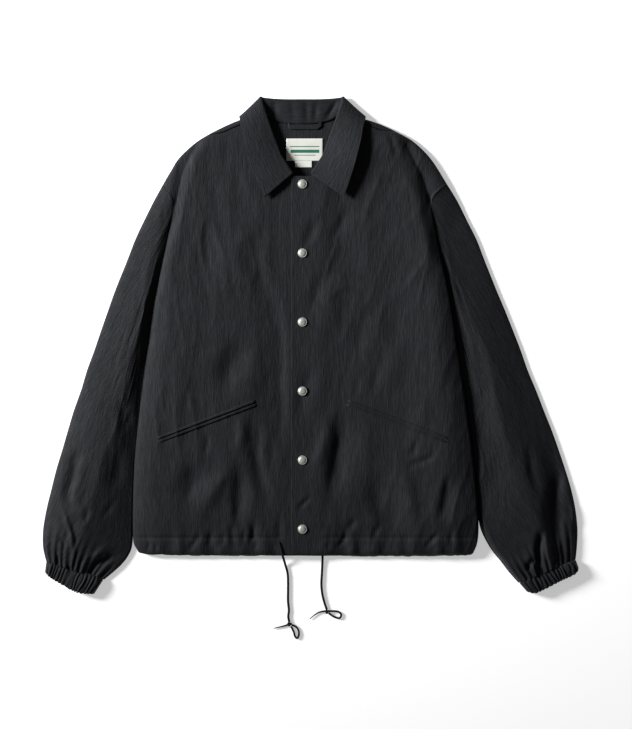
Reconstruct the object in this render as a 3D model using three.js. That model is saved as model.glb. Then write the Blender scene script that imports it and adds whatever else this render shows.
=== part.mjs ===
// Coach jacket, laid flat on its back. Millimetres, +Z up, the surface it lies on is z = 0.
// X runs across from the centre front, with the wearer's left at +X. Y runs from the hem to the collar.
// Each panel is worked out on its own half with x outwards, and the wearer's right half is mirrored.
import * as THREE from 'three';

// Driving sizes of the cloth
const wall = 1.5;
const seamGap = 0.3;
const halfGap = seamGap / 2;
const sewnOn = 0.7; // clearance under what is sewn onto a panel

// Heights of the laid jacket
const seamHeight = 5; // the fold at the side seams, the sleeve edges and the shoulder
const shoulderTop = 9;
const foldReach = 8; // how far the back panel's rounded edge reaches in
const collarBed = 2.1; // the back panel rides this high over the collar's back leaf

// Front edges
const overEdge = -16;
const underEdge = -22;
const placketLift = 2.3;
const placketFlat = 26;
const placketFade = 34;
const hemY = -320;
const neckDropY = 257;

// Heights of the fronts above the surface: at the centre, halfway out and at the side
const crown = [
  { y: -320, centre: 11, middle: 12, side: 12 },
  { y: -293, centre: 10, middle: 11, side: 12 },
  { y: -265, centre: 11, middle: 13.5, side: 14 },
  { y: -120, centre: 11, middle: 15, side: 17 },
  { y: 20, centre: 10.5, middle: 15, side: 18 },
  { y: 130, centre: 10, middle: 14, side: 17 },
  { y: 225, centre: 10, middle: 11, side: 16 },
  { y: 300, centre: 9.5, middle: 9.5, side: 13 },
  { y: 350, centre: 9.3, middle: 9.3, side: 11 },
];

// Outlines in plan, one table for each half
const halves = {
  left: {
    sign: 1,
    shoulder: [[64, 351], [97, 343.5], [122, 335], [149, 322], [167, 311.5], [185, 296], [198, 281],
      [208, 266], [217, 251], [220, 246]],
    side: [[262, -320], [266, -308], [269, -281], [267, -236], [261, -175], [253, -114], [244, -53],
      [234, 8]],
    sleeveOuter: [[220, 246], [236, 220], [251, 190], [266, 160], [278, 129], [296, 84], [309, 53],
      [321, 23], [333, -8], [343.5, -38], [356, -68], [368, -99], [380, -129], [391, -160],
      [401, -190], [410, -220], [416.5, -251], [419.5, -281], [418.5, -308], [416.5, -327]],
    sleeveInner: [[234, 8], [244, -53], [253, -114], [261, -175], [267, -236], [270, -266],
      [276, -287], [290, -312], [303, -328], [316, -345], [331, -362]],
    cuffBottom: [[421, -339], [415, -348], [392, -359], [369, -371], [354, -377], [342, -375]],
    leafEdge: [[64, 224, 19], [71.5, 247, 22], [80, 274, 23], [85.5, 294, 22], [90, 314, 19.5],
      [93.5, 333, 15.5], [96, 342.5, 11], [96.5, 347.5, 6]],
  },
  right: {
    sign: -1,
    shoulder: [[64, 351], [94, 343], [125, 329.5], [155, 313], [176, 296], [190, 281], [199, 266],
      [208, 251], [212, 243.5]],
    side: [[251, -318], [256, -306], [258, -281], [258, -236], [255.5, -175], [249.5, -114],
      [242.5, -53], [233, 8]],
    sleeveOuter: [[212, 243.5], [225, 220], [240, 190], [254, 160], [266, 129], [284, 84], [295, 53],
      [305.5, 23], [316, -8], [327, -38], [336, -68], [347, -99], [356, -129], [365, -160],
      [374, -190], [381.5, -220], [389, -251], [394, -281], [394, -308], [389, -330]],
    sleeveInner: [[233, 8], [242.5, -53], [249.5, -114], [255.5, -175], [258, -236], [258.5, -281],
      [260, -306], [266, -321], [276, -334], [289, -346], [302.5, -357]],
    cuffBottom: [[391, -345], [383, -353], [368, -362], [353, -371], [337, -377], [316, -378.5]],
    leafEdge: [[56, 224, 16.5], [65, 243, 17], [75.5, 268, 16.5], [83, 290, 16], [88.5, 312, 15],
      [93, 333, 13.5], [94.5, 342.5, 10.5], [95, 347.5, 6]],
  },
};

// The armhole seam from the underarm to just before the shoulder, and the neck seams
const armholeRise = [[226, 60], [216, 110], [207, 150], [200, 185], [197, 210], [200, 227]];
const frontNeck = [[14, 257], [31, 267.5], [48, 290], [60, 318], [64, 343]];
const backNeck = [[0, 334.4], [28, 335.8], [48, 339], [58.5, 343.6], [64, 351]];

// Heights of the armhole seam, from the underarm up: a valley, then nearly flush over the sleeve head
const armholeSeam = [[0, 8.5], [0.7, 8.5], [0.82, 10.5], [0.92, 12], [1, 12]];

// Shares of a seam at which the panels on both sides of it have their points
const edgeSteps = [0, 0.006, 0.025, 0.06, 0.105, 0.16];
const armholeSteps = [...edgeSteps, 0.27, 0.385, 0.5, 0.615, 0.73, ...edgeSteps.map((t) => 1 - t).reverse()];
const sideSteps = [0, 0.03, 0.082, 0.14, 0.21, 0.29, 0.38, 0.47, 0.56, 0.66, 0.76, 0.88];
const acrossSteps = [0, 0.035, 0.075, 0.12, 0.17, 0.22, 0.28, 0.34, 0.41, 0.48, 0.55, 0.62, 0.69,
  0.76, 0.82, 0.87, 0.91, 0.942, 0.968, 0.986, 0.996, 1];
const alongSleeve = [0, 0.006, 0.022, 0.05, 0.09, 0.15, 0.22, 0.29, 0.36, 0.43, 0.5, 0.57, 0.64,
  0.71, 0.78, 0.84, 0.89, 0.93, 0.965, 1];
const underarmShare = 0.56; // the part of a front's height below the underarm
const placketShare = 0.12; // the part of a front's top edge that is the placket
const neckShare = 0.34; // the part of a front's top edge before the shoulder seam

// Folds: from and to in plan, signed X, then how far the crease bows, its width and its depth
const frontFolds = [
  { from: [-87, 23], to: [-140, -99], bow: 5, width: 30, depth: -3 },
  { from: [-97, -165], to: [-94, -281], bow: 4, width: 22, depth: -3.5 },
  { from: [-67, -91], to: [-53, -266], bow: -8, width: 24, depth: -4 },
  { from: [-147, -144], to: [-185, -236], bow: 5, width: 28, depth: -3 },
  { from: [-87, -99], to: [-147, -236], bow: 0, width: 30, depth: 3 },
  { from: [-77, -262], to: [-80, -318], bow: 3, width: 16, depth: -3 },
  { from: [-155, -278], to: [-172, -318], bow: 2, width: 18, depth: -2.5 },
  { from: [-113, -285], to: [-120, -318], bow: 0, width: 20, depth: 2 },
  { from: [-231, -288], to: [-240, -318], bow: 0, width: 18, depth: -2 },
  { from: [-152, 300], to: [-196, 222], bow: -4, width: 26, depth: -4 },
  { from: [-40, 215], to: [-60, 60], bow: 6, width: 34, depth: 1.8 },
  { from: [65, -96], to: [30, -258], bow: 8, width: 28, depth: -4 },
  { from: [201, -150], to: [165, -200], bow: 4, width: 22, depth: -2.5 },
  { from: [228, -193], to: [208, -312], bow: 4, width: 24, depth: -3 },
  { from: [126, -230], to: [138, -318], bow: -6, width: 24, depth: -3 },
  { from: [95, -180], to: [88, -290], bow: 4, width: 30, depth: 2.5 },
  { from: [180, -215], to: [172, -318], bow: 3, width: 28, depth: 2.5 },
  { from: [58, -285], to: [54, -318], bow: 0, width: 16, depth: -2 },
  { from: [65, 220], to: [38, 120], bow: 4, width: 26, depth: -1.8 },
  { from: [152, 300], to: [197, 222], bow: -4, width: 26, depth: -4 },
  { from: [120, 150], to: [165, -60], bow: 8, width: 40, depth: 2.5 },
];
const sleeveFolds = {
  left: [
    { from: [278, -53], to: [331, -312], bow: -6, width: 36, depth: 4 },
    { from: [398, -195], to: [400, -320], bow: -10, width: 22, depth: -5 },
    { from: [374, -275], to: [392, -326], bow: 0, width: 16, depth: 3 },
    { from: [351, -300], to: [352, -350], bow: 0, width: 14, depth: -4 },
    { from: [369, -300], to: [376, -340], bow: 0, width: 13, depth: -3.5 },
    { from: [322, -300], to: [338, -356], bow: 2, width: 14, depth: -3.5 },
    { from: [232, 200], to: [262, 60], bow: 10, width: 34, depth: 2.5 },
    { from: [300, -180], to: [290, -300], bow: 6, width: 26, depth: -3 },
    { from: [345, -60], to: [372, -170], bow: 4, width: 30, depth: -3 },
  ],
  right: [
    { from: [325, -141], to: [354, -243], bow: 5, width: 26, depth: -4.5 },
    { from: [371, -236], to: [348, -339], bow: -6, width: 24, depth: 4 },
    { from: [371, -300], to: [369, -337], bow: 0, width: 13, depth: -3.5 },
    { from: [354, -289], to: [353, -340], bow: 0, width: 13, depth: -4 },
    { from: [336, -300], to: [330, -346], bow: 0, width: 14, depth: -3.5 },
    { from: [307, -281], to: [287, -254], bow: 2, width: 20, depth: -3 },
    { from: [347, -236], to: [300, -330], bow: -4, width: 26, depth: 3 },
    { from: [225, 195], to: [254, 60], bow: 10, width: 34, depth: 2.5 },
    { from: [275, 20], to: [300, -110], bow: 6, width: 36, depth: 2.5 },
  ],
};

// Sleeves and cuffs
const sleeveCrown = [[0, 16], [0.12, 17], [0.4, 20], [0.7, 23], [0.9, 22], [1, 15]];
const sleeveShift = [0.5, -0.3]; // keeps the sleeve clear of the armhole and the side
const roundShare = 0.16; // the part of a sleeve's width in which its top rounds off
const underShare = 0.08;
const headShare = 0.055;
const cuffGathers = 24;
const gatherDepth = 1.5;
const cuffTop = 13;
const cuffSteps = 48;
const cuffUnderSteps = 8;

// Collar stations from the front end to the middle of the back: neck seam and roll, and behind the
// shoulder the leaf's edge, which each half gives before that. The turn is the angle at which the leaf
// lies to the stand: 90 above it, 0 beside it, -90 below it.
const collarWall = 1.5;
const rollRadius = 2.2;
const collarRuns = { stand: 2, roll: 4, leaf: 4 };
const collarHalfSteps = 15;
const collarStations = [
  { neck: [13.4, 259, 9.6], roll: [14, 262, 13], turn: 90 },
  { neck: [28.8, 269.8, 9], roll: [20.5, 271.5, 12], turn: 90 },
  { neck: [47, 290.6, 8.6], roll: [32, 290, 10.5], turn: 90 },
  { neck: [52.6, 304.6, 8.6], roll: [37, 304, 9.5], turn: 90 },
  { neck: [57, 319.2, 8.6], roll: [43, 320, 10], turn: 90 },
  { neck: [59.3, 334.2, 8.6], roll: [49.5, 338, 10], turn: 88 },
  { neck: [60.6, 346.5, 8.2], roll: [56.5, 359, 9.5], turn: 60 },
  { neck: [59.5, 355.5, 6.4], roll: [62, 376.5, 7], turn: 5 },
  { neck: [53.8, 350.4, 4], roll: [59, 376.5, 4], edge: [90, 339.5, 0.95], turn: -60 },
  { neck: [45.4, 343.4, 3.2], roll: [46, 375, 3.2], edge: [66, 328, 0.85], turn: -90 },
  { neck: [24, 338, 3], roll: [24, 374, 3.2], edge: [32, 323.5, 0.85], turn: -90 },
  { neck: [0, 336.6, 3], roll: [0, 374, 3.2], edge: [0, 322, 0.85], turn: -90 },
];

// What is sewn on
const pocket = { inner: [68, -87], outer: [224, -146], lip: 4.4, slit: 0.6, steps: 18 };
const snapYs = [244.7, 139.8, 34.9, -70, -174.9, -279.8];
const snap = { x: 0.8, radius: 7, rim: 1.1, dome: 2.6, segments: 12 };
const label = { x: 4, y: 297.6, width: 56, height: 34, thick: 0.8, steps: 6 };
const sizeTab = { x: 2.3, y: 275.7, width: 26, height: 9.8, thick: 0.8, steps: 3 };
const hangerLoop = { halfLength: 30, y: 332.6, width: 6, sag: 3.5, thick: 1.5, steps: 10 };

// The drawcord's two free ends: route, knot, loop and tail, each by hand
const cordRadius = 1.5;
const cordSides = 8;
const cordLie = 1.75; // height of a cord's middle where it lies on the surface
const drawcords = {
  right: {
    route: [[-35, -299, 12.9], [-33, -306, 13.4], [-31, -314, 14], [-29.5, -320, 13.9],
      [-28, -325, 10.5], [-26.6, -330, 6], [-25.2, -335.5, 2.6], [-23, -343, cordLie],
      [-21.6, -351, cordLie], [-21.2, -363, cordLie], [-21.3, -376, cordLie], [-21.3, -390, cordLie],
      [-20, -404, cordLie], [-20.9, -414, cordLie], [-19.3, -421.4, cordLie]],
    knot: [-18.6, -425, 2.9],
    loop: [[-14.4, -427.2], [-9, -429.4], [-5.2, -435.5], [-5, -442.5], [-7.6, -446.6],
      [-10.8, -443.4], [-12.6, -437], [-15, -431.2]],
    tail: [[-23, -427], [-29, -428.4], [-36, -430], [-43, -431.8]],
  },
  left: {
    route: [[31, -308, 3.5], [31.2, -316, 3.5], [31.3, -324, 3.2], [31, -332, 2.2],
      [30.6, -342, cordLie], [30.1, -351, cordLie], [29.5, -364.5, cordLie], [30.7, -378, cordLie],
      [33.2, -389, cordLie], [35.6, -397, cordLie], [37.6, -402.3, cordLie]],
    knot: [38.6, -405.9, 2.9],
    loop: [[43, -405.4], [49.5, -405.4], [56, -406.6], [59.6, -410.6], [57.6, -415.6],
      [52.4, -415.4], [46.5, -412.6], [42, -409.2]],
    tail: [[34, -405.4], [26.5, -407], [18.5, -411.8], [11.7, -417.5]],
  },
};
const knotSize = [4, 3.4, 2.8];

// Numbers and curves
const clamp = (t) => Math.min(1, Math.max(0, t));
const mix = THREE.MathUtils.lerp;
const point = (p, z) => new THREE.Vector3(p.x, p.y, z);

function smooth(t) {
  const c = clamp(t);
  return c * c * (3 - 2 * c);
}

// A quarter of an ellipse: 0 at an edge, 1 from one reach inwards
function roundOff(share) {
  return Math.sqrt(1 - (1 - clamp(share)) ** 2);
}

// A value from rows of position and value, eased between them
function fromRows(rows, at) {
  const next = rows.findIndex((row) => row[0] >= at);
  if (next < 0) {
    return rows[rows.length - 1][1];
  }
  if (next === 0) {
    return rows[0][1];
  }
  const [a, b] = [rows[next - 1], rows[next]];
  return mix(a[1], b[1], smooth((at - a[0]) / (b[0] - a[0])));
}

function curve(rows) {
  return new THREE.SplineCurve(rows.map(([x, y]) => new THREE.Vector2(x, y)));
}

// Runs along one curve after another, each over its own share of the whole
function chain(parts) {
  return (t) => {
    let start = 0;
    for (const part of parts) {
      if (t <= part.until || part === parts[parts.length - 1]) {
        return part.curve.getPointAt(clamp((t - start) / (part.until - start)));
      }
      start = part.until;
    }
    return null;
  };
}

// A sheet between four edges: the sum of the two rulings less the corners' own blend
function sheetBetween(bottom, top, start, end) {
  const corner = [bottom(0), bottom(1), top(0), top(1)];
  return (u, v) => {
    const p = new THREE.Vector2();
    p.addScaledVector(bottom(u), 1 - v).addScaledVector(top(u), v);
    p.addScaledVector(start(v), 1 - u).addScaledVector(end(v), u);
    p.addScaledVector(corner[0], -(1 - u) * (1 - v)).addScaledVector(corner[1], -u * (1 - v));
    p.addScaledVector(corner[2], -(1 - u) * v).addScaledVector(corner[3], -u * v);
    return p;
  };
}

// Height that a table of folds adds at a place: a bell across each crease, faded at both ends
function foldHeight(folds, x, y) {
  let sum = 0;
  for (const fold of folds) {
    const run = new THREE.Vector2(fold.to[0] - fold.from[0], fold.to[1] - fold.from[1]);
    const length = run.length();
    run.divideScalar(length);
    const [dx, dy] = [x - fold.from[0], y - fold.from[1]];
    const along = (dx * run.x + dy * run.y) / length;
    if (along < -0.15 || along > 1.15) {
      continue;
    }
    const off = dx * -run.y + dy * run.x - fold.bow * 4 * clamp(along) * (1 - clamp(along));
    const fade = smooth((along + 0.15) / 0.35) * smooth((1.15 - along) / 0.35);
    sum += fold.depth * fade * Math.exp(-(((2 * off) / fold.width) ** 2));
  }
  return sum;
}

// Walls
function normalsOf(grid, ring) {
  const rows = grid.length;
  const cols = grid[0].length;
  return grid.map((row, i) => row.map((_, j) => {
    const up = grid[Math.min(i + 1, rows - 1)][j].clone().sub(grid[Math.max(i - 1, 0)][j]);
    const after = ring ? row[(j + 1) % cols] : row[Math.min(j + 1, cols - 1)];
    const before = ring ? row[(j - 1 + cols) % cols] : row[Math.max(j - 1, 0)];
    return after.clone().sub(before).cross(up).normalize();
  }));
}

function offset(grid, distance, ring = false) {
  const normals = normalsOf(grid, ring);
  return grid.map((row, i) => row.map((p, j) => p.clone().addScaledVector(normals[i][j], distance)));
}

// A closed wall between two like grids. A ring joins its last column to its first.
function wallBetween(outer, inner, ring = false, sign = 1) {
  const rows = outer.length;
  const cols = outer[0].length;
  const positions = [...outer, ...inner].flat().flatMap((p) => [p.x * sign, p.y, p.z]);
  const index = (side, i, j) => side * rows * cols + i * cols + (j % cols);
  const triangles = [];
  const quad = (a, b, c, d) => triangles.push(a, b, c, a, c, d);
  const lastCol = ring ? cols : cols - 1;
  for (let i = 0; i < rows - 1; i += 1) {
    for (let j = 0; j < lastCol; j += 1) {
      quad(index(0, i, j), index(0, i, j + 1), index(0, i + 1, j + 1), index(0, i + 1, j));
      quad(index(1, i, j), index(1, i + 1, j), index(1, i + 1, j + 1), index(1, i, j + 1));
    }
  }
  for (let j = 0; j < lastCol; j += 1) {
    quad(index(0, 0, j), index(1, 0, j), index(1, 0, j + 1), index(0, 0, j + 1));
    const i = rows - 1;
    quad(index(0, i, j), index(0, i, j + 1), index(1, i, j + 1), index(1, i, j));
  }
  if (!ring) {
    for (let i = 0; i < rows - 1; i += 1) {
      quad(index(0, i, 0), index(0, i + 1, 0), index(1, i + 1, 0), index(1, i, 0));
      const j = cols - 1;
      quad(index(0, i, j), index(1, i, j), index(1, i + 1, j), index(0, i + 1, j));
    }
  }
  return facingOut(positions, triangles);
}

// Turns the faces round if the volume that they enclose comes out negative
function facingOut(positions, triangles) {
  const at = (k) => new THREE.Vector3().fromArray(positions, 3 * triangles[k]);
  let volume = 0;
  for (let k = 0; k < triangles.length; k += 3) {
    volume += at(k).dot(at(k + 1).cross(at(k + 2)));
  }
  if (volume < 0) {
    triangles.reverse();
  }
  const geometry = new THREE.BufferGeometry();
  geometry.setAttribute('position', new THREE.Float32BufferAttribute(positions, 3));
  geometry.setIndex(triangles);
  geometry.computeVertexNormals();
  return geometry;
}

// Height of a grid's facets above a place, or null beside it
function heightOn(grid, x, y) {
  const ray = new THREE.Vector3(x, y, 0);
  let best = null;
  const tryTriangle = (a, b, c) => {
    const flat = [a, b, c].map((p) => new THREE.Vector3(p.x, p.y, 0));
    const weights = THREE.Triangle.getBarycoord(ray, ...flat, new THREE.Vector3());
    if (weights && Math.min(weights.x, weights.y, weights.z) > -1e-6) {
      const z = weights.x * a.z + weights.y * b.z + weights.z * c.z;
      best = best === null ? z : Math.max(best, z);
    }
  };
  for (let i = 0; i < grid.length - 1; i += 1) {
    for (let j = 0; j < grid[0].length - 1; j += 1) {
      const [a, b, c, d] = [grid[i][j], grid[i][j + 1], grid[i + 1][j + 1], grid[i + 1][j]];
      tryTriangle(a, b, c);
      tryTriangle(a, c, d);
    }
  }
  return best;
}

// Materials and the group
const looks = {
  shell: new THREE.MeshStandardMaterial({ color: 0x2b2d31, roughness: 0.8, metalness: 0 }),
  snap: new THREE.MeshStandardMaterial({ color: 0xa9a9a4, roughness: 0.35, metalness: 1 }),
  label: new THREE.MeshStandardMaterial({ color: 0xebece4, roughness: 0.7, metalness: 0 }),
  cord: new THREE.MeshStandardMaterial({ color: 0x17181a, roughness: 0.7, metalness: 0 }),
};
const jacket = new THREE.Group();

function add(name, geometry, look) {
  const mesh = new THREE.Mesh(geometry, look);
  mesh.name = name;
  jacket.add(mesh);
}

// Seams that more than one panel follows
for (const half of Object.values(halves)) {
  const shoulderPoint = half.shoulder[half.shoulder.length - 1];
  const underarm = half.side[half.side.length - 1];
  half.armhole = curve([underarm, ...armholeRise, shoulderPoint]);
  half.shoulderCurve = curve(half.shoulder);
  half.sideCurve = curve(half.side);
}

function armholeTop(t) {
  const rise = roundOff(Math.min(t, 1 - t) / roundShare);
  return mix(seamHeight, fromRows(armholeSeam, t), rise);
}

function armholeUnder(t) {
  return seamHeight * (1 - roundOff(Math.min(t, 1 - t) / underShare));
}

// The shoulder seam lies forward of the fold near the neck, and on the fold further out
function forwardAngle(x) {
  const forward = foldReach * smooth((x - 66) / 16) * (1 - smooth((x - 118) / 34));
  return Math.acos(1 - forward / foldReach);
}

// The direction out of the shoulder's rounded fold, which both panels' rims follow
function foldNormal(half, t, angle) {
  const run = half.shoulderCurve.getTangentAt(t);
  const out = new THREE.Vector2(-run.y, run.x).multiplyScalar(Math.cos(angle) / foldReach);
  const up = Math.sin(angle) / (angle > 0 ? shoulderTop - seamHeight : seamHeight);
  return new THREE.Vector3(out.x, out.y, up).normalize();
}

// The direction out of the side seam, level
function sideNormal(half, t) {
  const run = half.sideCurve.getTangentAt(t);
  return new THREE.Vector3(run.y, -run.x, 0);
}

function shoulderFold(half, t, angle) {
  const at = half.shoulderCurve.getPointAt(t);
  const run = half.shoulderCurve.getTangentAt(t);
  const inward = new THREE.Vector2(run.y, -run.x);
  return at.addScaledVector(inward, foldReach * (1 - Math.cos(angle)));
}

function frontHeight(x, y) {
  const at = (column) => fromRows(crown.map((row) => [row.y, row[column]]), y);
  const share = clamp(Math.abs(x) / 250);
  const inner = mix(at('centre'), at('middle'), smooth(share * 2));
  return mix(inner, at('side'), smooth(share * 2 - 1));
}

// Front panels
function frontGrid(half, edgeX, lift) {
  const seamTurn = seamGap / (shoulderTop - seamHeight);
  const shoulder = {
    getPointAt: (t) => {
      const x = half.shoulderCurve.getPointAt(t).x;
      return shoulderFold(half, t, forwardAngle(x) + seamTurn);
    },
  };
  const neckStart = frontNeck[0];
  const shoulderStart = shoulder.getPointAt(0);
  const neckline = curve([...frontNeck.slice(0, -1), [shoulderStart.x, shoulderStart.y]]);
  const top = chain([
    { until: placketShare, curve: curve([[edgeX, neckDropY], neckStart]) },
    { until: neckShare, curve: neckline },
    { until: 1, curve: shoulder },
  ]);
  const outer = chain([
    { until: underarmShare, curve: half.sideCurve },
    { until: 1, curve: half.armhole },
  ]);
  const hem = curve([[edgeX, hemY], [60, hemY - 1], [160, hemY - 1], half.side[0]]);
  const edge = curve([[edgeX, hemY], [edgeX, neckDropY]]);
  const plan = sheetBetween((u) => hem.getPointAt(u), top, (v) => edge.getPointAt(v), outer);
  const heights = [...sideSteps.map((t) => t * underarmShare),
    ...armholeSteps.map((t) => mix(underarmShare, 1, t))];
  const grid = heights.map((v) => acrossSteps.map((u) => {
    const p = plan(u, v);
    const near = smooth((Math.abs(p.x) - placketFlat) / 14);
    let z = frontHeight(p.x, p.y) + near * foldHeight(frontFolds, p.x * half.sign, p.y);
    z += lift * (1 - smooth((p.x - placketFlat) / placketFade));
    const armholeShare = (v - underarmShare) / (1 - underarmShare);
    const sideZ = armholeShare <= 0 ? seamHeight + halfGap : armholeTop(armholeShare) + halfGap;
    z = mix(sideZ, z, roundOff(((1 - u) * plan(0, v).distanceTo(plan(1, v))) / 24));
    if (u > neckShare) {
      const angle = forwardAngle(p.x) + seamTurn;
      const topZ = seamHeight + (shoulderTop - seamHeight) * Math.sin(angle);
      z = mix(topZ, z, roundOff(((1 - v) * plan(u, 0).distanceTo(plan(u, 1))) / 18));
    }
    return point(p, z);
  }));
  const inside = offset(grid, -wall);
  const lastRow = grid.length - 1;
  const lastCol = acrossSteps.length - 1;
  [...sideSteps, 1, 1, 1].forEach((t, i) => {
    inside[i][lastCol] = grid[i][lastCol].clone().addScaledVector(sideNormal(half, t), -wall);
  });
  acrossSteps.forEach((u, j) => {
    if (u > neckShare) {
      const t = (u - neckShare) / (1 - neckShare);
      const angle = forwardAngle(half.shoulderCurve.getPointAt(t).x) + seamTurn;
      inside[lastRow][j] = grid[lastRow][j].clone().addScaledVector(foldNormal(half, t, angle), -wall);
    }
  });
  for (const i of [lastRow - 1, lastRow - 2]) {
    const out = foldNormal(half, 1, seamTurn);
    inside[i][lastCol] = grid[i][lastCol].clone().addScaledVector(out, -wall);
  }
  // The back has every second point along the shoulder, so the front's edge runs straight between
  for (const row of [grid[lastRow], inside[lastRow]]) {
    acrossSteps.forEach((u, j) => {
      if (u > neckShare && (lastCol - j) % 2 === 1) {
        const share = (u - acrossSteps[j - 1]) / (acrossSteps[j + 1] - acrossSteps[j - 1]);
        row[j].lerpVectors(row[j - 1], row[j + 1], share);
      }
    });
  }
  return { grid, inside };
}

const fronts = {
  left: frontGrid(halves.left, overEdge, placketLift),
  right: frontGrid(halves.right, underEdge, 0),
};
for (const [name, half] of Object.entries(halves)) {
  const { grid, inside } = fronts[name];
  add(`front_${name}`, wallBetween(grid, inside, false, half.sign), looks.shell);
}

// Back panel: both halves in one piece, flat but for its rounded edges and the shoulder's wrap
function backHalf(half) {
  const ruleAngle = -Math.PI / 6;
  const shoulder = { getPointAt: (t) => shoulderFold(half, t, ruleAngle) };
  const start = shoulder.getPointAt(0);
  const neck = curve([...backNeck.slice(0, -1), [start.x, start.y]]);
  const top = chain([{ until: neckShare, curve: neck }, { until: 1, curve: shoulder }]);
  const end = shoulder.getPointAt(1);
  const armhole = curve([half.side[half.side.length - 1], ...armholeRise, [end.x, end.y]]);
  const outer = chain([{ until: underarmShare, curve: half.sideCurve }, { until: 1, curve: armhole }]);
  const hem = curve([[0, hemY - 1], [100, hemY - 1.5], half.side[0]]);
  const middle = curve([[0, hemY - 1], backNeck[0]]);
  const plan = sheetBetween((u) => hem.getPointAt(u), top, (v) => middle.getPointAt(v), outer);
  const evenOnly = (steps) => steps.filter((_, k) => k % 2 === 0);
  const heights = [...evenOnly(sideSteps).map((t) => t * underarmShare),
    ...evenOnly(armholeSteps).map((t) => mix(underarmShare, 1, t))];
  const across = [0, 0.17, ...evenOnly(acrossSteps.filter((u) => u >= neckShare))];
  const bed = (p) => collarBed * smooth((p.y - 285) / 28) * (1 - smooth((p.x - 102) / 30));
  const rows = heights.map((v) => across.map((u) => {
    const p = plan(u, v);
    const low = bed(p);
    const t = (v - underarmShare) / (1 - underarmShare);
    const sideCurl = t <= 0 ? 1 : armholeUnder(Math.min(t, 0.5)) / seamHeight;
    const sideDistance = (1 - u) * plan(0, v).distanceTo(plan(1, v));
    let z = mix(low, seamHeight - halfGap, sideCurl * (1 - roundOff(sideDistance / foldReach)));
    if (u >= neckShare) {
      const reach = (1 - v) * plan(u, 0).distanceTo(plan(u, 1)) + foldReach * (1 - Math.cos(ruleAngle));
      z = Math.max(z, mix(low, seamHeight, 1 - roundOff(reach / foldReach)));
    }
    return point(p, z);
  }));
  const wrapRows = 4;
  for (let k = 1; k <= wrapRows; k += 1) {
    rows.push(across.map((u) => {
      if (u < neckShare) {
        const p = plan(u, 1);
        return new THREE.Vector3(p.x, p.y + 0.25 * k, bed(p));
      }
      const t = (u - neckShare) / (1 - neckShare);
      const x = half.shoulderCurve.getPointAt(t).x;
      const last = forwardAngle(x) - seamGap / (shoulderTop - seamHeight);
      const angle = mix(ruleAngle, last, k / wrapRows);
      const p = shoulderFold(half, t, angle);
      const rise = angle > 0 ? shoulderTop - seamHeight : seamHeight - bed(p);
      return point(p, seamHeight + rise * Math.sin(angle));
    }));
  }
  const inside = offset(rows, wall);
  const lastCol = across.length - 1;
  [...evenOnly(sideSteps), 1, 1].forEach((t, i) => {
    inside[i][lastCol] = rows[i][lastCol].clone().addScaledVector(sideNormal(half, t), -wall);
  });
  for (let k = 1; k <= wrapRows; k += 1) {
    across.forEach((u, j) => {
      if (u < neckShare) {
        return;
      }
      const t = (u - neckShare) / (1 - neckShare);
      const x = half.shoulderCurve.getPointAt(t).x;
      const last = forwardAngle(x) - seamGap / (shoulderTop - seamHeight);
      const angle = mix(ruleAngle, last, k / wrapRows);
      const i = heights.length - 1 + k;
      inside[i][j] = rows[i][j].clone().addScaledVector(foldNormal(half, t, angle), -wall);
    });
  }
  return { rows, inside };
}

const backHalves = { left: backHalf(halves.left), right: backHalf(halves.right) };
const flip = (p) => new THREE.Vector3(-p.x, p.y, p.z);
const joinHalves = (which) => backHalves.left[which].map((row, i) => {
  const other = backHalves.right[which][i];
  const middle = row[0].clone().add(flip(other[0])).multiplyScalar(0.5);
  return [...other.slice(1).reverse().map(flip), middle, ...row.slice(1)];
});
const backInside = joinHalves('inside');
add('back', wallBetween(joinHalves('rows'), backInside), looks.shell);

// Sleeves: closed tubes, flat below, that round off along both edges and into the armhole
function sleeveGrid(half, name) {
  const outer = curve(half.sleeveOuter);
  const inner = curve(half.sleeveInner);
  const cuff = [half.sleeveInner, half.sleeveOuter].map((rows) => rows[rows.length - 1]);
  const head = (t) => half.armhole.getPointAt(t);
  const cuffLine = curve(cuff);
  const plan = sheetBetween(head, (t) => cuffLine.getPointAt(t), (v) => inner.getPointAt(v),
    (v) => outer.getPointAt(v));
  const shift = new THREE.Vector2(...sleeveShift);
  const under = armholeSteps.filter((_, k) => k % 2 === 0).slice(1, -1).reverse();
  return alongSleeve.map((v) => {
    const topPoint = (t) => {
      const p = plan(t, v);
      const height = fromRows(sleeveCrown, v) + foldHeight(sleeveFolds[name], p.x, p.y);
      const full = mix(seamHeight, height, roundOff(Math.min(t, 1 - t) / roundShare));
      const z = mix(armholeTop(t), full, roundOff(v / headShare));
      return point(p.add(shift), z);
    };
    const underPoint = (t) => point(plan(t, v).add(shift), armholeUnder(t));
    return [...armholeSteps.map(topPoint), ...under.map(underPoint)];
  });
}

const sleeves = { left: sleeveGrid(halves.left, 'left'), right: sleeveGrid(halves.right, 'right') };
for (const [name, half] of Object.entries(halves)) {
  const grid = sleeves[name];
  add(`sleeve_${name}`, wallBetween(grid, offset(grid, wall, true), true, half.sign), looks.shell);
}

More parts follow.
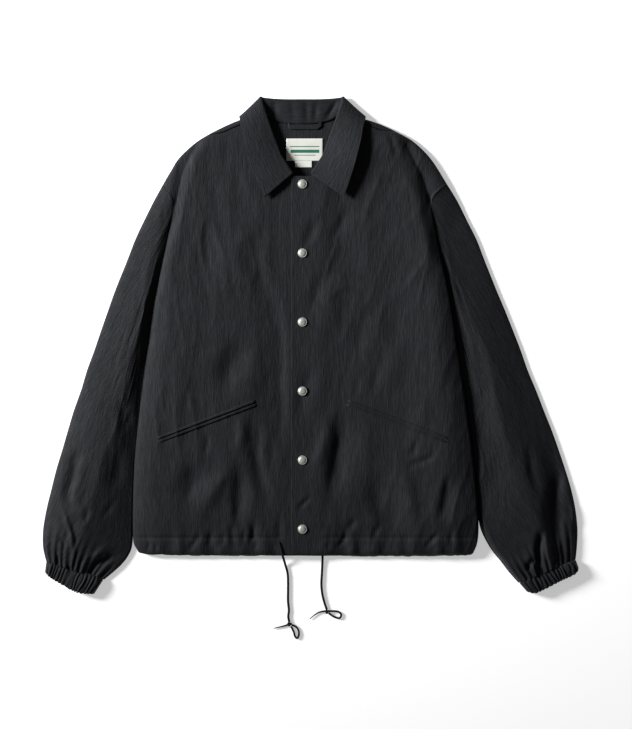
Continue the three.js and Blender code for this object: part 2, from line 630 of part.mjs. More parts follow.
// Cuffs: gathered elastic bands, the gathers raised over a plain inside
function cuffRings(half) {
  const inner = half.sleeveInner[half.sleeveInner.length - 1];
  const outer = half.sleeveOuter[half.sleeveOuter.length - 1];
  const top = curve([inner, outer]);
  const bottom = curve([...half.cuffBottom].reverse());
  const shift = new THREE.Vector2(...sleeveShift);
  const rowAt = (share, raised) => {
    const away = new THREE.Vector2(inner[1] - outer[1], outer[0] - inner[0]).normalize().negate();
    const place = (t) => {
      const start = top.getPointAt(t).addScaledVector(away, 0.6);
      return start.lerp(bottom.getPointAt(t), share).add(shift);
    };
    const row = [];
    for (let k = 0; k <= cuffSteps; k += 1) {
      const t = k / cuffSteps;
      const round = roundOff(Math.min(t, 1 - t) / 0.12);
      const gather = k % 2 === 1 ? gatherDepth * round : 0;
      const z = mix(seamHeight + 1, cuffTop, round) + (raised ? gather : 0);
      row.push(point(place(t), z));
    }
    for (let k = cuffUnderSteps - 1; k > 0; k -= 1) {
      const t = k / cuffUnderSteps;
      row.push(point(place(t), 0));
    }
    return row;
  };
  const shares = [0, 0.5, 1];
  const outerRows = shares.map((share) => rowAt(share, true));
  const plainRows = shares.map((share) => rowAt(share, false));
  return [outerRows, offset(plainRows, wall, true)];
}

for (const [name, half] of Object.entries(halves)) {
  const [outer, inner] = cuffRings(half);
  add(`cuff_${name}`, wallBetween(outer, inner, true, half.sign), looks.shell);
}

// Collar: stand and leaf in one folded wall, the leaf over the fronts and under the back
function collarHalf(half) {
  const column = (pick) => new THREE.CatmullRomCurve3(
    collarStations.map((station, k) => new THREE.Vector3(...pick(station, k))), false, 'catmullrom', 0.5);
  const neck = column((station) => station.neck);
  const roll = column((station) => station.roll);
  const edge = column((station, k) => station.edge ?? half.leafEdge[k]);
  const turn = column((station) => [station.turn, 0, 0]);
  const rows = [];
  for (let k = 0; k <= collarHalfSteps; k += 1) {
    const t = k / collarHalfSteps;
    const [n, r, e] = [neck.getPoint(t), roll.getPoint(t), edge.getPoint(t)];
    const angle = THREE.MathUtils.degToRad(turn.getPoint(t).x);
    const into = n.clone().sub(r).setZ(0).normalize().add(e.clone().sub(r).setZ(0).normalize());
    into.normalize();
    const aside = new THREE.Vector3(-into.y, into.x, 0).multiplyScalar(Math.cos(angle));
    aside.z = Math.sin(angle);
    const onRoll = (phi) => r.clone().addScaledVector(into, rollRadius * (1 - Math.cos(phi)))
      .addScaledVector(aside, rollRadius * Math.sin(phi));
    const [standTop, leafTop] = [onRoll(-Math.PI / 2), onRoll(Math.PI / 2)];
    const row = [];
    for (let s = 0; s < collarRuns.stand; s += 1) {
      row.push(n.clone().lerp(standTop, s / collarRuns.stand));
    }
    for (let s = 0; s < collarRuns.roll; s += 1) {
      row.push(onRoll(Math.PI * (s / collarRuns.roll - 0.5)));
    }
    for (let s = 0; s <= collarRuns.leaf; s += 1) {
      row.push(leafTop.clone().lerp(e, s / collarRuns.leaf));
    }
    rows.push(row);
  }
  return rows;
}

const collarLeft = collarHalf(halves.left);
const collarRight = collarHalf(halves.right).slice(0, -1);
const collarGrid = [...collarRight.map((row) => row.map(flip)), ...[...collarLeft].reverse()];
add('collar', wallBetween(offset(collarGrid, collarWall / 2), offset(collarGrid, -collarWall / 2)),
  looks.shell);

// Small flat pieces that lie on a panel: their under points are the panel's, moved out
function patchOn(panel, place, cols, rows, thick, sign = 1) {
  const grid = (lift) => Array.from({ length: rows + 1 }, (_, i) => (
    Array.from({ length: cols + 1 }, (__, j) => {
      const [x, y] = place(j / cols, i / rows);
      return new THREE.Vector3(x, y, heightOn(panel, x, y) + lift);
    })));
  return wallBetween(grid(sewnOn + thick), grid(sewnOn), false, sign);
}

// Pockets: two welt lips on each front, with the slit between them
for (const [name, half] of Object.entries(halves)) {
  const [x0, y0] = pocket.inner;
  const [x1, y1] = pocket.outer;
  const along = new THREE.Vector2(x1 - x0, y1 - y0).normalize();
  for (const [lipName, start] of [['lower', -pocket.slit / 2 - pocket.lip], ['upper', pocket.slit / 2]]) {
    const place = (s, t) => {
      const away = start + pocket.lip * t;
      return [mix(x0, x1, s) - along.y * away, mix(y0, y1, s) + along.x * away];
    };
    add(`pocket_${name}_${lipName}`, patchOn(fronts[name].grid, place, pocket.steps, 1, wall, half.sign),
      looks.shell);
  }
}

// Snaps: domed caps down the centre front
snapYs.forEach((y, k) => {
  let seat = 0;
  for (let a = 0; a < snap.segments; a += 1) {
    const turn = (2 * Math.PI * a) / snap.segments;
    const [x, ringY] = [snap.x + snap.radius * Math.cos(turn), y + snap.radius * Math.sin(turn)];
    seat = Math.max(seat, heightOn(fronts.left.grid, x, ringY) ?? 0, heightOn(fronts.left.grid, snap.x, y));
  }
  const profile = [[0, 0], [snap.radius, 0], [snap.radius, snap.rim], [snap.radius * 0.72, snap.dome * 0.8],
    [snap.radius * 0.38, snap.dome * 0.97], [0, snap.dome]];
  const cap = new THREE.LatheGeometry(profile.map(([r, z]) => new THREE.Vector2(r, z)), snap.segments);
  cap.rotateX(Math.PI / 2);
  cap.translate(snap.x, y, seat + seamGap);
  add(`snap_${k + 1}`, cap, looks.snap);
});

// Label, size tab and hanger loop on the inside of the back
for (const [name, tag] of [['label', label], ['size_tab', sizeTab]]) {
  const place = (s, t) => [tag.x + tag.width * (s - 0.5), tag.y + tag.height * (t - 0.5)];
  add(name, patchOn(backInside, place, tag.steps, tag.steps, tag.thick), looks.label);
}
const loopPlace = (s, t) => {
  const sag = hangerLoop.sag * (1 - (2 * s - 1) ** 2);
  return [hangerLoop.halfLength * (2 * s - 1), hangerLoop.y - sag + hangerLoop.width * (t - 0.5)];
};
add('hanger_loop', patchOn(backInside, loopPlace, hangerLoop.steps, 2, hangerLoop.thick), looks.shell);

// Drawcord ends
function cordTube(points, radius, steps) {
  const section = new THREE.Shape();
  for (let k = 0; k < cordSides; k += 1) {
    const turn = (2 * Math.PI * (k + 0.5)) / cordSides;
    const [x, y] = [radius * Math.cos(turn), radius * Math.sin(turn)];
    if (k === 0) {
      section.moveTo(x, y);
    } else {
      section.lineTo(x, y);
    }
  }
  const path = new THREE.CatmullRomCurve3(points.map(([x, y, z]) => new THREE.Vector3(x, y, z ?? cordLie)));
  return new THREE.ExtrudeGeometry(section, { steps, extrudePath: path, bevelEnabled: false });
}

for (const [name, cord] of Object.entries(drawcords)) {
  add(`drawcord_${name}`, cordTube(cord.route, cordRadius, 20), looks.cord);
  add(`drawcord_${name}_loop`, cordTube(cord.loop, cordRadius, 12), looks.cord);
  add(`drawcord_${name}_tail`, cordTube(cord.tail, cordRadius * 0.8, 5), looks.cord);
  const knot = new THREE.SphereGeometry(1, 10, 7);
  knot.scale(...knotSize);
  knot.translate(...cord.knot);
  add(`drawcord_${name}_knot`, knot, looks.cord);
}

export default jacket;
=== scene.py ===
import bmesh
import bpy
import numpy as np
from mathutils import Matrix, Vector


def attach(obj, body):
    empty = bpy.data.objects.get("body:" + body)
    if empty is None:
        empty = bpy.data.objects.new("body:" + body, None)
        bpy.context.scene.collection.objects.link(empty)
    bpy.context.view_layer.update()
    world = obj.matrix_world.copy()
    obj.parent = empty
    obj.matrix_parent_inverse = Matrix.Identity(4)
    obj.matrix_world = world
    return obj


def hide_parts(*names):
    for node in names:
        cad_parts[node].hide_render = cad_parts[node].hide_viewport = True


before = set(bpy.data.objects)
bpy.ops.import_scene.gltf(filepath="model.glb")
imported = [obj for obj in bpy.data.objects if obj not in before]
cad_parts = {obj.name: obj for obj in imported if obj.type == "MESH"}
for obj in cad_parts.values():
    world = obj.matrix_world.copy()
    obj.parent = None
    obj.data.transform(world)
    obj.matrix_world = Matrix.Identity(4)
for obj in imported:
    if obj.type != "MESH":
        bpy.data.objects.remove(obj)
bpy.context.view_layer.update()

# The view: a camera straight above the laid jacket, a softbox a metre across and low on the left, and a
# white floor. The picture is 632 by 729 pixels, and each pixel is 1.52 mm of the jacket.
MM = 0.001
pixel = 1.52 * MM
picture_height = 729
centre_x, centre_y = 21.3 * MM, -29.6 * MM
jacket_top = 12 * MM
camera_height = 4.2
camera = bpy.data.cameras.new("camera")
camera.sensor_fit = "VERTICAL"
camera.sensor_height = 24
camera.lens = camera.sensor_height * (camera_height - jacket_top) / (picture_height * pixel)
camera_object = bpy.data.objects.new("camera", camera)
camera_object.location = (centre_x, centre_y, camera_height)
bpy.context.scene.collection.objects.link(camera_object)
bpy.context.scene.camera = camera_object
bpy.context.scene.view_settings.view_transform = "Standard"

light_from = Vector((-0.95, 0.31, 0.46)).normalized()
light_aim = Vector((-0.22, 0.44, 0))
light_distance = 3.4
lamp = bpy.data.lights.new("softbox", "AREA")
lamp.shape = "DISK"
lamp.size = 1.0
lamp.spread = np.radians(60)
lamp.energy = 34
lamp_object = bpy.data.objects.new("softbox", lamp)
lamp_object.location = Vector((centre_x, centre_y, 0)) + light_from * light_distance
lamp_object.rotation_euler = (lamp_object.location - light_aim).to_track_quat("Z", "Y").to_euler()
bpy.context.scene.collection.objects.link(lamp_object)

world = bpy.data.worlds.new("studio")
world.use_nodes = True
world.node_tree.nodes["Background"].inputs["Color"].default_value = (1, 1, 1, 1)
world.node_tree.nodes["Background"].inputs["Strength"].default_value = 0.085
bpy.context.scene.world = world


class Knob:
    """A socket in a material. Arithmetic on it adds a Math node and gives the new socket."""

    def __init__(self, tree, socket):
        self.tree, self.socket = tree, socket

    def maths(self, operation, first, second=None):
        node = self.tree.nodes.new("ShaderNodeMath")
        node.operation = operation
        for place, value in enumerate((first, second)):
            if isinstance(value, Knob):
                self.tree.links.new(value.socket, node.inputs[place])
            elif value is not None:
                node.inputs[place].default_value = value
        return Knob(self.tree, node.outputs[0])

    def __add__(self, other):
        return self.maths("ADD", self, other)

    def __rsub__(self, other):
        return self.maths("SUBTRACT", other, self)

    def __mul__(self, other):
        return self.maths("MULTIPLY", self, other)

    __radd__, __rmul__ = __add__, __mul__

    def __gt__(self, other):
        return self.maths("GREATER_THAN", self, other)

    def __lt__(self, other):
        return self.maths("LESS_THAN", self, other)


class Finish:
    """A material with one Principled shader. Every other node comes from node()."""

    def __init__(self, name, **constants):
        self.material = bpy.data.materials.new(name)
        self.material.use_nodes = True
        self.tree = self.material.node_tree
        self.shader = self.tree.nodes["Principled BSDF"]
        for socket, value in constants.items():
            self.shader.inputs[socket.replace("_", " ")].default_value = value

    def node(self, kind, settings=None, inputs=None, output=0):
        """Adds a node of that kind, applies its settings, fills its inputs and gives one output."""
        node = self.tree.nodes.new("ShaderNode" + kind)
        for key, value in (settings or {}).items():
            if key == "stops":
                ramp = node.color_ramp.elements
                while len(ramp) < len(value):
                    ramp.new(0.5)
                for stop, (place, colour) in zip(ramp, value):
                    stop.position = place
                    stop.color = (*colour, 1)
            else:
                setattr(node, key, value)
        for key, value in (inputs or {}).items():
            if isinstance(value, Knob):
                self.tree.links.new(value.socket, node.inputs[key])
            else:
                node.inputs[key].default_value = value
        return Knob(self.tree, node.outputs[output])

    def feed(self, **links):
        for socket, knob in links.items():
            self.tree.links.new(knob.socket, self.shader.inputs[socket.replace("_", " ")])


floor_side, floor_drop = 16.0, 0.4 * MM
floor_mesh = bpy.data.meshes.new("floor")
floor_corners = [(x * floor_side / 2, y * floor_side / 2, -floor_drop)
                 for x, y in ((-1, -1), (1, -1), (1, 1), (-1, 1))]
floor_mesh.from_pydata(floor_corners, [], [(0, 1, 2, 3)])
floor = bpy.data.objects.new("floor", floor_mesh)
bpy.context.scene.collection.objects.link(floor)
floor_paint = Finish("floor_paint", Base_Color=(0.85, 0.85, 0.85, 1), Roughness=0.9,
                     Emission_Color=(1, 1, 1, 1), Emission_Strength=0.45)
floor_mesh.materials.append(floor_paint.material)


# The drawcord's two free ends: round braided black cotton, 3 mm thick, that come out of the hem
# casing, hang over the hem onto the surface, and end in a slip knot with a loop and a thin tail.
def catmull(padded, whole):
    """Catmull-Rom: the cubic through four neighbouring rows at a time, at places counted in rows."""
    piece = np.minimum(whole.astype(int), len(padded) - 4)
    t = (whole - piece)[:, None]
    a, b, c, d = (padded[piece + k] for k in range(4))
    return b + 0.5 * t * (c - a + t * (2 * a - 5 * b + 4 * c - d + t * (3 * (b - c) + d - a)))


def spline(rows, smoothness=64):
    """Catmull-Rom through the rows, as a function that gives the points at shares of its length."""
    rows = np.asarray(rows, float)
    whole = np.linspace(0, len(rows) - 1, smoothness * (len(rows) - 1) + 1)
    line = catmull(np.vstack([rows[:1], rows, rows[-1:]]), whole)
    steps = np.linalg.norm(np.diff(line, axis=0), axis=1)
    run = np.concatenate([[0], np.cumsum(steps)])

    def at(share):
        place = np.clip(share, 0, 1) * run[-1]
        return np.stack([np.interp(place, run, line[:, k]) for k in range(line.shape[1])], axis=-1)

    at.length = run[-1]
    return at


def put_mesh(name, points, quads, uv, material, smooth=True):
    """One object at the origin, from points in mm, quads of point numbers and a UV for each point."""
    mesh = bpy.data.meshes.new(name)
    quads = np.asarray(quads).reshape(-1, 4)
    mesh.vertices.add(len(points))
    mesh.vertices.foreach_set("co", (np.asarray(points) * MM).ravel())
    mesh.loops.add(quads.size)
    mesh.loops.foreach_set("vertex_index", quads.ravel())
    mesh.polygons.add(len(quads))
    mesh.polygons.foreach_set("loop_start", np.arange(0, quads.size, 4))
    mesh.polygons.foreach_set("use_smooth", np.full(len(quads), smooth))
    layer = mesh.uv_layers.new(name="UVMap")
    layer.data.foreach_set("uv", np.asarray(uv)[quads.ravel()].ravel())
    mesh.update(calc_edges=True)
    mesh.validate()
    mesh.materials.append(material)
    piece = bpy.data.objects.new(name, mesh)
    bpy.context.scene.collection.objects.link(piece)
    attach(piece, "root")
    return piece


def unit(vectors):
    """Each vector over its own length."""
    return vectors / np.maximum(np.linalg.norm(vectors, axis=-1, keepdims=True), 1e-9)


def round_off(share):
    """A quarter of an ellipse: 0 at an edge, 1 from one reach inwards."""
    return np.sqrt(np.clip(1 - (1 - np.clip(share, 0, 1)) ** 2, 0, 1))


def grid_quads(index):
    """The quads between neighbouring rows and columns of point numbers."""
    return np.stack([index[:-1, :-1], index[:-1, 1:], index[1:, 1:], index[1:, :-1]], axis=-1)


def tube(name, path, radius, material, taper=0.0, aim=(0, 0, 1)):
    """A ring of the radius carried along the path, across its direction, with its ends closed to a point.
    The braid raises the ring by the higher of two opposed helices, and taper narrows the far end."""
    sides, step, pitch, strand, tip = 20, 0.5, 4.2, 0.05, 1.2
    count = max(12, int(path.length / step))
    share = np.linspace(0, 1, count)
    line = path(share)
    run = share * path.length
    forward = unit(np.gradient(line, axis=0))
    aside = unit(np.cross(forward, np.broadcast_to(aim, forward.shape)))
    above = np.cross(aside, forward)
    turn = np.linspace(0, 2 * np.pi, sides + 1)
    wave = np.maximum(np.sin(4 * turn + 2 * np.pi * run[:, None] / pitch),
                      np.sin(4 * turn - 2 * np.pi * run[:, None] / pitch))
    end = np.minimum(run, run[-1] - run)[:, None]
    size = radius * round_off(end / tip) * (1 + strand * wave) * (1 - taper * share[:, None])
    size = np.maximum(size, 0.02)
    ring = (line[:, None] + aside[:, None] * (size * np.cos(turn))[..., None]
            + above[:, None] * (size * np.sin(turn))[..., None])
    index = np.arange(count * (sides + 1)).reshape(count, sides + 1)
    uv = np.dstack(np.broadcast_arrays(turn / (2 * np.pi), run[:, None] / 10)).reshape(-1, 2)
    piece = put_mesh(name, ring.reshape(-1, 3), grid_quads(index), uv, material)
    weld(piece)
    return piece


def weld(piece, distance=0.002 * MM):
    """Joins points that lie on each other, as along a tube's own seam, and turns the faces outwards."""
    work = bmesh.new()
    work.from_mesh(piece.data)
    bmesh.ops.remove_doubles(work, verts=work.verts, dist=distance)
    bmesh.ops.dissolve_degenerate(work, edges=work.edges, dist=distance)
    holes = [edge for edge in work.edges if edge.is_boundary]
    if holes:
        bmesh.ops.holes_fill(work, edges=holes, sides=0)
    bmesh.ops.recalc_face_normals(work, faces=work.faces)
    work.to_mesh(piece.data)
    work.free()


def braid_finish():
    """Black cotton braid: matt, with a little fluff that lightens and raises it."""
    finish = Finish("cord_braid", Roughness=0.9, Specular_IOR_Level=0.15)
    uv = finish.node("TexCoord", output=2)
    fluff = finish.node("TexNoise", inputs={"Vector": uv, "Scale": 60.0, "Detail": 3.0})
    stops = [(0.3, (0.004, 0.0042, 0.005)), (0.8, (0.013, 0.0135, 0.016))]
    colour = finish.node("ValToRGB", {"stops": stops}, {"Fac": fluff})
    bump = finish.node("Bump", inputs={"Height": fluff, "Strength": 0.5, "Distance": 0.2 * MM})
    finish.feed(Base_Color=colour, Normal=bump)
    return finish.material


# Points of each end in mm: its run, its knot's middle, its loop and its tail. lie is the height of a cord's
# middle on the surface, and the run is drawn a little thicker than the cord, with its fluff.
cord_material = braid_finish()
cord_radius, run_swell, knot_radius = 1.5, 1.15, 1.45
knot_wide, knot_high, knot_step = 2.2, 1.4, 0.45
lie = 1.75
drawcords = {
    "right": {
        "route": [(-35, -299, 11.2), (-33, -306, 11.7), (-31, -314, 12), (-29.5, -320, 11.8),
                  (-28, -325, 9), (-26.6, -330, 5.4), (-25.2, -335.5, 2.6), (-23, -343, lie),
                  (-21.6, -351, lie), (-21.2, -363, lie), (-21.3, -376, lie), (-21.3, -390, lie),
                  (-20, -404, lie), (-20.9, -414, lie), (-19.1, -422.8, lie + 0.4)],
        "knot": (-18.6, -425, 3.1),
        "loop": [(-16, -426.4, lie), (-9, -429.4, lie), (-5.2, -435.5, lie), (-5, -442.5, lie),
                 (-7.6, -446.6, lie), (-10.8, -443.4, lie), (-12.6, -437, lie), (-16.8, -428.4, lie)],
        "tail": [(-20.6, -426, lie), (-29, -428.4, lie), (-36, -430, lie), (-43, -431.8, lie)],
    },
    "left": {
        "route": [(31, -308, 3.5), (31.2, -316, 3.5), (31.3, -324, 3.2), (31, -332, 2.2),
                  (30.6, -342, lie), (30.1, -351, lie), (29.5, -364.5, lie), (30.7, -378, lie),
                  (33.2, -389, lie), (35.6, -397, lie), (38, -403.6, lie + 0.4)],
        "knot": (38.6, -405.9, 3.1),
        "loop": [(41, -405.6, lie), (49.5, -405.4, lie), (56, -406.6, lie), (59.6, -410.6, lie),
                 (57.6, -415.6, lie), (52.4, -415.4, lie), (46.5, -412.6, lie), (40.4, -408, lie)],
        "tail": [(36.4, -405.2, lie), (26.5, -407, lie), (18.5, -411.8, lie), (11.7, -417.5, lie)],
    },
}


def knot_path(middle, along):
    """About one and a half turns of cord round the knot's middle, across the cord's own direction."""
    turn = np.linspace(-1.6 * np.pi, 1.6 * np.pi, 60)
    along = unit(np.append(along, 0.0))
    aside = np.cross((0, 0, 1), along)
    rows = np.asarray(middle) + np.outer(turn * knot_step, along)
    rows = rows + np.outer(knot_wide * np.cos(turn), aside) + np.outer(knot_high * np.sin(turn), (0, 0, 1))
    return spline(rows, 4)


for side, ends in drawcords.items():
    route = spline(ends["route"])
    cord = tube(f"cord_{side}", route, cord_radius * run_swell, cord_material)
    turns = knot_path(ends["knot"], np.subtract(ends["knot"], ends["route"][-2])[:2])
    knot = tube(f"cord_{side}_slip_knot", turns, knot_radius, cord_material, aim=(0.6, 0.2, 0.77))
    loop = tube(f"cord_{side}_bow", spline(ends["loop"]), cord_radius, cord_material)
    tail = tube(f"cord_{side}_end", spline(ends["tail"]), cord_radius, cord_material, taper=0.6)
    for piece, node in ((cord, ""), (knot, "_knot"), (loop, "_loop"), (tail, "_tail")):
        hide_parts(f"drawcord_{side}{node}")
    tuple(np.array(ends["route"][0]) * MM)
    (route(np.linspace(0, 1, 80)) * MM).tolist()


# The shell cloth: washed nylon and cotton, charcoal black, woven fine and crinkled along its length.
# Every panel of it has a UV map in metres, across the grain and along it.
def shell_finish():
    """Charcoal cloth. Slubs, long narrow crinkles, wider creases and a fine weave raise the surface. Its
    colour follows the same lumps, lighter on their tops and darker in their valleys: painted shade, over the
    cloth's own uneven tone from a broad cloud. The crinkles' tops are smoother too."""
    finish = Finish("shell_cloth", Sheen_Weight=0.03, Sheen_Roughness=0.5, Specular_IOR_Level=0.2)
    uv = finish.node("TexCoord", output=2)

    def streaks(across, along, detail, twist=0.0):
        """Noise stretched along the grain: one lump is that many millimetres across and along."""
        scale = (1 / (across * MM), 1 / (along * MM), 1)
        placed = finish.node("Mapping", inputs={"Vector": uv, "Scale": scale, "Rotation": (0, 0, twist)})
        return finish.node("TexNoise", inputs={"Vector": placed, "Scale": 1.0, "Detail": detail,
                                               "Roughness": 0.55, "Distortion": 0.25})

    slub = streaks(1.5, 14, 2.0, 0.05)
    crinkle = streaks(2.8, 20, 3.0, -0.04)
    crease = streaks(6.5, 30, 2.0, 0.12)
    cloud = streaks(45, 80, 2.0)
    weave_u, weave_v = (finish.node("TexWave", {"wave_type": "BANDS", "bands_direction": way},
                                    {"Vector": uv, "Scale": scale, "Distortion": 0.6, "Detail": 1.0})
                        for way, scale in (("X", 700.0), ("Y", 560.0)))
    height = slub * 0.6 + crinkle * 0.8 + crease * 0.75 + (weave_u + weave_v) * 0.05
    # Colour from the bump's own slubs, crinkles and creases paints shade into their valleys and light onto
    # their tops; the cloud is the cloth's own uneven tone
    tone_and_valley_shade = slub * 0.42 + crinkle * 0.3 + crease * 0.13 + cloud * 0.15
    stops = [(0.38, (0.0041, 0.0045, 0.0061)), (0.63, (0.0117, 0.0126, 0.0163))]
    colour = finish.node("ValToRGB", {"stops": stops}, {"Fac": tone_and_valley_shade})
    bump = finish.node("Bump", inputs={"Height": height, "Strength": 1.0, "Distance": 0.68 * MM})
    roughness = 0.82 - crinkle * 0.22
    finish.feed(Base_Color=colour, Normal=bump, Roughness=roughness)
    return finish.material


shell_material = shell_finish()


# Front panels: cut with a straight placket, a neck curve, a shoulder, an armhole and a side. The wearer's
# left laps over the right and closes with snaps. Below, each is turned up 27 mm into a casing for the cord.
seam_height = 5.0
seam_gap = 0.3
shoulder_top = 9.0
fold_reach = 8.0
over_edge, under_edge = -16.0, -22.0
placket_lift, placket_flat, placket_fade = 2.3, 26.0, 34.0
hem_y, neck_drop_y = -320.0, 257.0
casing, groove_width, groove_depth, gather_depth = 27.0, 2.2, 1.4, 2.0
half_width, hem_corner = 230, 7
side_round = {"left": 44, "right": 46}
side_wall = 3.5
underarm_share, placket_share, neck_share = 0.56, 0.12, 0.34
cloth_thick = 0.9

# Heights of the fronts: y, then at the centre, halfway out, and at the side of the right and the left front
crown = np.array([(-320, 11, 12, 13, 16), (-293, 11, 13, 14, 20), (-265, 11.5, 14, 15, 23),
                  (-120, 11.5, 15, 16, 24), (20, 11, 14.5, 15.5, 24), (130, 10.5, 13.5, 15, 23),
                  (225, 10.5, 12, 15, 21), (300, 9.5, 10.5, 14, 17), (350, 9.3, 9.3, 11, 11)])

# Outlines in plan of each half, x outwards from the centre front. The collar's leaf edge has its height
# too, and sleeve_end is the sleeve's inner edge from where it leaves the body's side. lift raises the
# placket that laps over, and hem_low is how far the front's hem hangs below hem_y.
halves = {
    "left": {
        "sign": 1,
        "shoulder": [(64, 351), (97, 343.5), (122, 335), (149, 322), (167, 311.5), (185, 296), (198, 281),
                     (208, 266), (217, 251), (220, 246)],
        "side": [(262, -320), (266, -308), (269, -281), (267, -236), (261, -175), (253, -114), (244, -53),
                 (234, 8)],
        "sleeve_outer": [(220, 246), (236, 220), (251, 190), (266, 160), (278, 129), (296, 84), (309, 53),
                         (321, 23), (333, -8), (343.5, -38), (356, -68), (368, -99), (380, -129),
                         (391, -160), (401, -190), (410, -220), (416.5, -251), (419.5, -281),
                         (418.5, -308), (416.5, -327)],
        "sleeve_end": [(270, -266), (276, -287), (290, -312), (303, -328), (316, -345), (331, -362)],
        "cuff_bottom": [(421, -339), (415, -348), (392, -359), (369, -371), (354, -377), (342, -375)],
        "leaf_edge": [(64, 224, 19), (71.5, 247, 22), (80, 274, 23), (85.5, 294, 22), (90, 314, 19.5),
                      (93.5, 333, 15.5), (96, 342.5, 11), (96.5, 347.5, 6)],
        "edge": over_edge,
        "lift": placket_lift,
        "hem_low": 2.0,
    },
    "right": {
        "sign": -1,
        "shoulder": [(64, 351), (94, 343), (125, 329.5), (155, 313), (176, 296), (190, 281), (199, 266),
                     (208, 251), (212, 243.5)],
        "side": [(251, -318), (256, -306), (258, -281), (258, -236), (255.5, -175), (249.5, -114),
                 (242.5, -53), (233, 8)],
        "sleeve_outer": [(212, 243.5), (225, 220), (240, 190), (254, 160), (266, 129), (284, 84),
                         (295, 53), (305.5, 23), (316, -8), (327, -38), (336, -68), (347, -99),
                         (356, -129), (365, -160), (374, -190), (381.5, -220), (389, -251), (394, -281),
                         (394, -308), (389, -330)],
        "sleeve_end": [(258.5, -281), (260, -306), (266, -321), (276, -334), (289, -346), (302.5, -357)],
        "cuff_bottom": [(391, -345), (383, -353), (368, -362), (353, -371), (337, -377), (316, -378.5)],
        "leaf_edge": [(56, 224, 16.5), (65, 243, 17), (75.5, 268, 16.5), (83, 290, 16), (88.5, 312, 15),
                      (93, 333, 13.5), (94.5, 342.5, 10.5), (95, 347.5, 6)],
        "edge": under_edge,
        "lift": 0.0,
        "hem_low": 0.6,
    },
}
armhole_rise = [(226, 60), (216, 110), (207, 150), (200, 185), (197, 210), (200, 227)]
front_neck = [(14, 257), (31, 267.5), (48, 290), (60, 318)]
armhole_seam = np.array([(0, 3.5), (0.45, 4), (0.7, 6), (0.82, 9), (0.92, 12), (1, 12)])
valley_floor = 2.6

# Creases of the fronts in signed x, from top to bottom: route, width on its lower x side, width on its
# higher x side, and height, which is negative for a trough
front_creases = [
    ([(-112, 26), (-99, -5), (-109, -41), (-129, -84)], 42, 42, -7.0),
    ([(-143, -129), (-144, -152), (-150, -175)], 9, 9, -2.0),
    ([(-146, -175), (-161, -201), (-179, -230), (-188, -246)], 36, 29, -5.0),
    ([(-94, -167), (-93, -198), (-96, -236), (-97, -269), (-93, -287)], 18, 32, -5.2),
    ([(-73, -91), (-70, -122), (-68, -167), (-61, -205), (-56, -243), (-52, -266)], 25, 22, -4.8),
    ([(-94, -102), (-90, -137), (-97, -172)], 16, 16, 2.8),
    ([(-106, -163), (-122, -202), (-147, -243), (-161, -274)], 22, 22, 3.3),
    ([(-155, -278), (-161, -296), (-173, -315)], 9, 9, -2.2),
    ([(-78, -260), (-74, -281), (-79, -306)], 10, 13, -3.9),
    ([(-67, -286), (-71, -312)], 7, 7, -2.2),
    ([(-106, -269), (-105, -309)], 8, 8, -2.0),
    ([(-117, -281), (-123, -309)], 8, 8, -2.0),
    ([(-137, -278), (-143, -309)], 10, 10, -2.0),
    ([(-38, -254), (-36, -281), (-32, -304)], 10, 10, -2.2),
    ([(-88, -274), (-90, -309)], 7, 7, -2.0),
    ([(-230, -298), (-236, -315)], 7, 7, -2.0),
    ([(-223, -301), (-219, -315)], 7, 7, -1.7),
    ([(-49, -129), (-46, -175), (-40, -220)], 16, 16, -2.2),
    ([(-132, 220), (-143, 160), (-146, 99), (-134, 53)], 34, 34, -2.4),
    ([(-61, 198), (-71, 129), (-52, 68), (-61, 8)], 26, 26, -2.2),
    ([(-175, -58), (-173, -102)], 10, 10, -1.3),
    ([(-188, 202), (-207, 126), (-219, 53)], 14, 29, 2.4),
    ([(68, -94), (58, -122), (56, -152), (49, -190), (40, -220), (27, -248)], 18, 46, -6.5),
    ([(43, -91), (36, -137), (24, -182), (14, -213)], 20, 20, 3.1),
    ([(17, -226), (6, -239), (-3, -249), (-8, -261)], 7, 8, -2.6),
    ([(17, -20), (9, -61), (0, -87), (-5, -122)], 20, 20, -2.3),
    ([(204, -149), (195, -167), (179, -178), (166, -184), (160, -199)], 9, 10, -2.4),
    ([(176, -144), (172, -155), (164, -172)], 8, 8, -2.2),
    ([(233, -190), (222, -214), (217, -239), (211, -261), (210, -278)], 16, 32, -4.8),
    ([(211, -280), (198, -295), (185, -312)], 9, 10, -2.8),
    ([(226, -278), (230, -309)], 9, 9, -2.2),
    ([(103, -187), (117, -233), (134, -266), (140, -301)], 36, 46, -5.0),
    ([(149, -167), (161, -220), (167, -281)], 26, 26, 3.0),
    ([(122, -263), (111, -283), (106, -304)], 9, 9, -2.2),
    ([(68, -275), (64, -292), (52, -310)], 8, 8, -2.8),
    ([(38, -293), (41, -313)], 7, 7, -2.4),
    ([(82, -260), (67, -283)], 10, 10, -2.2),
    ([(128, 339), (140, 304), (149, 269)], 10, 10, -1.7),
    ([(73, 216), (62, 182), (47, 155)], 16, 20, -2.5),
    ([(23, 198), (11, 167), (2, 144)], 16, 16, -2.4),
    ([(43, 126), (24, 84), (9, 41)], 22, 22, -2.2),
    ([(111, 84), (91, 23), (76, -41)], 29, 29, -2.4),
    ([(73, 144), (49, 68), (36, -8)], 32, 32, 2.4),
    ([(84, -41), (81, -81)], 10, 10, -1.3),
    ([(114, -30), (106, -84)], 12, 12, -1.3),
    ([(152, 23), (137, -41), (131, -84)], 29, 29, 2.5),
    ([(-44, 110), (-36, 20), (-33, -90), (-32, -190)], 70, 18, -3.4),
]

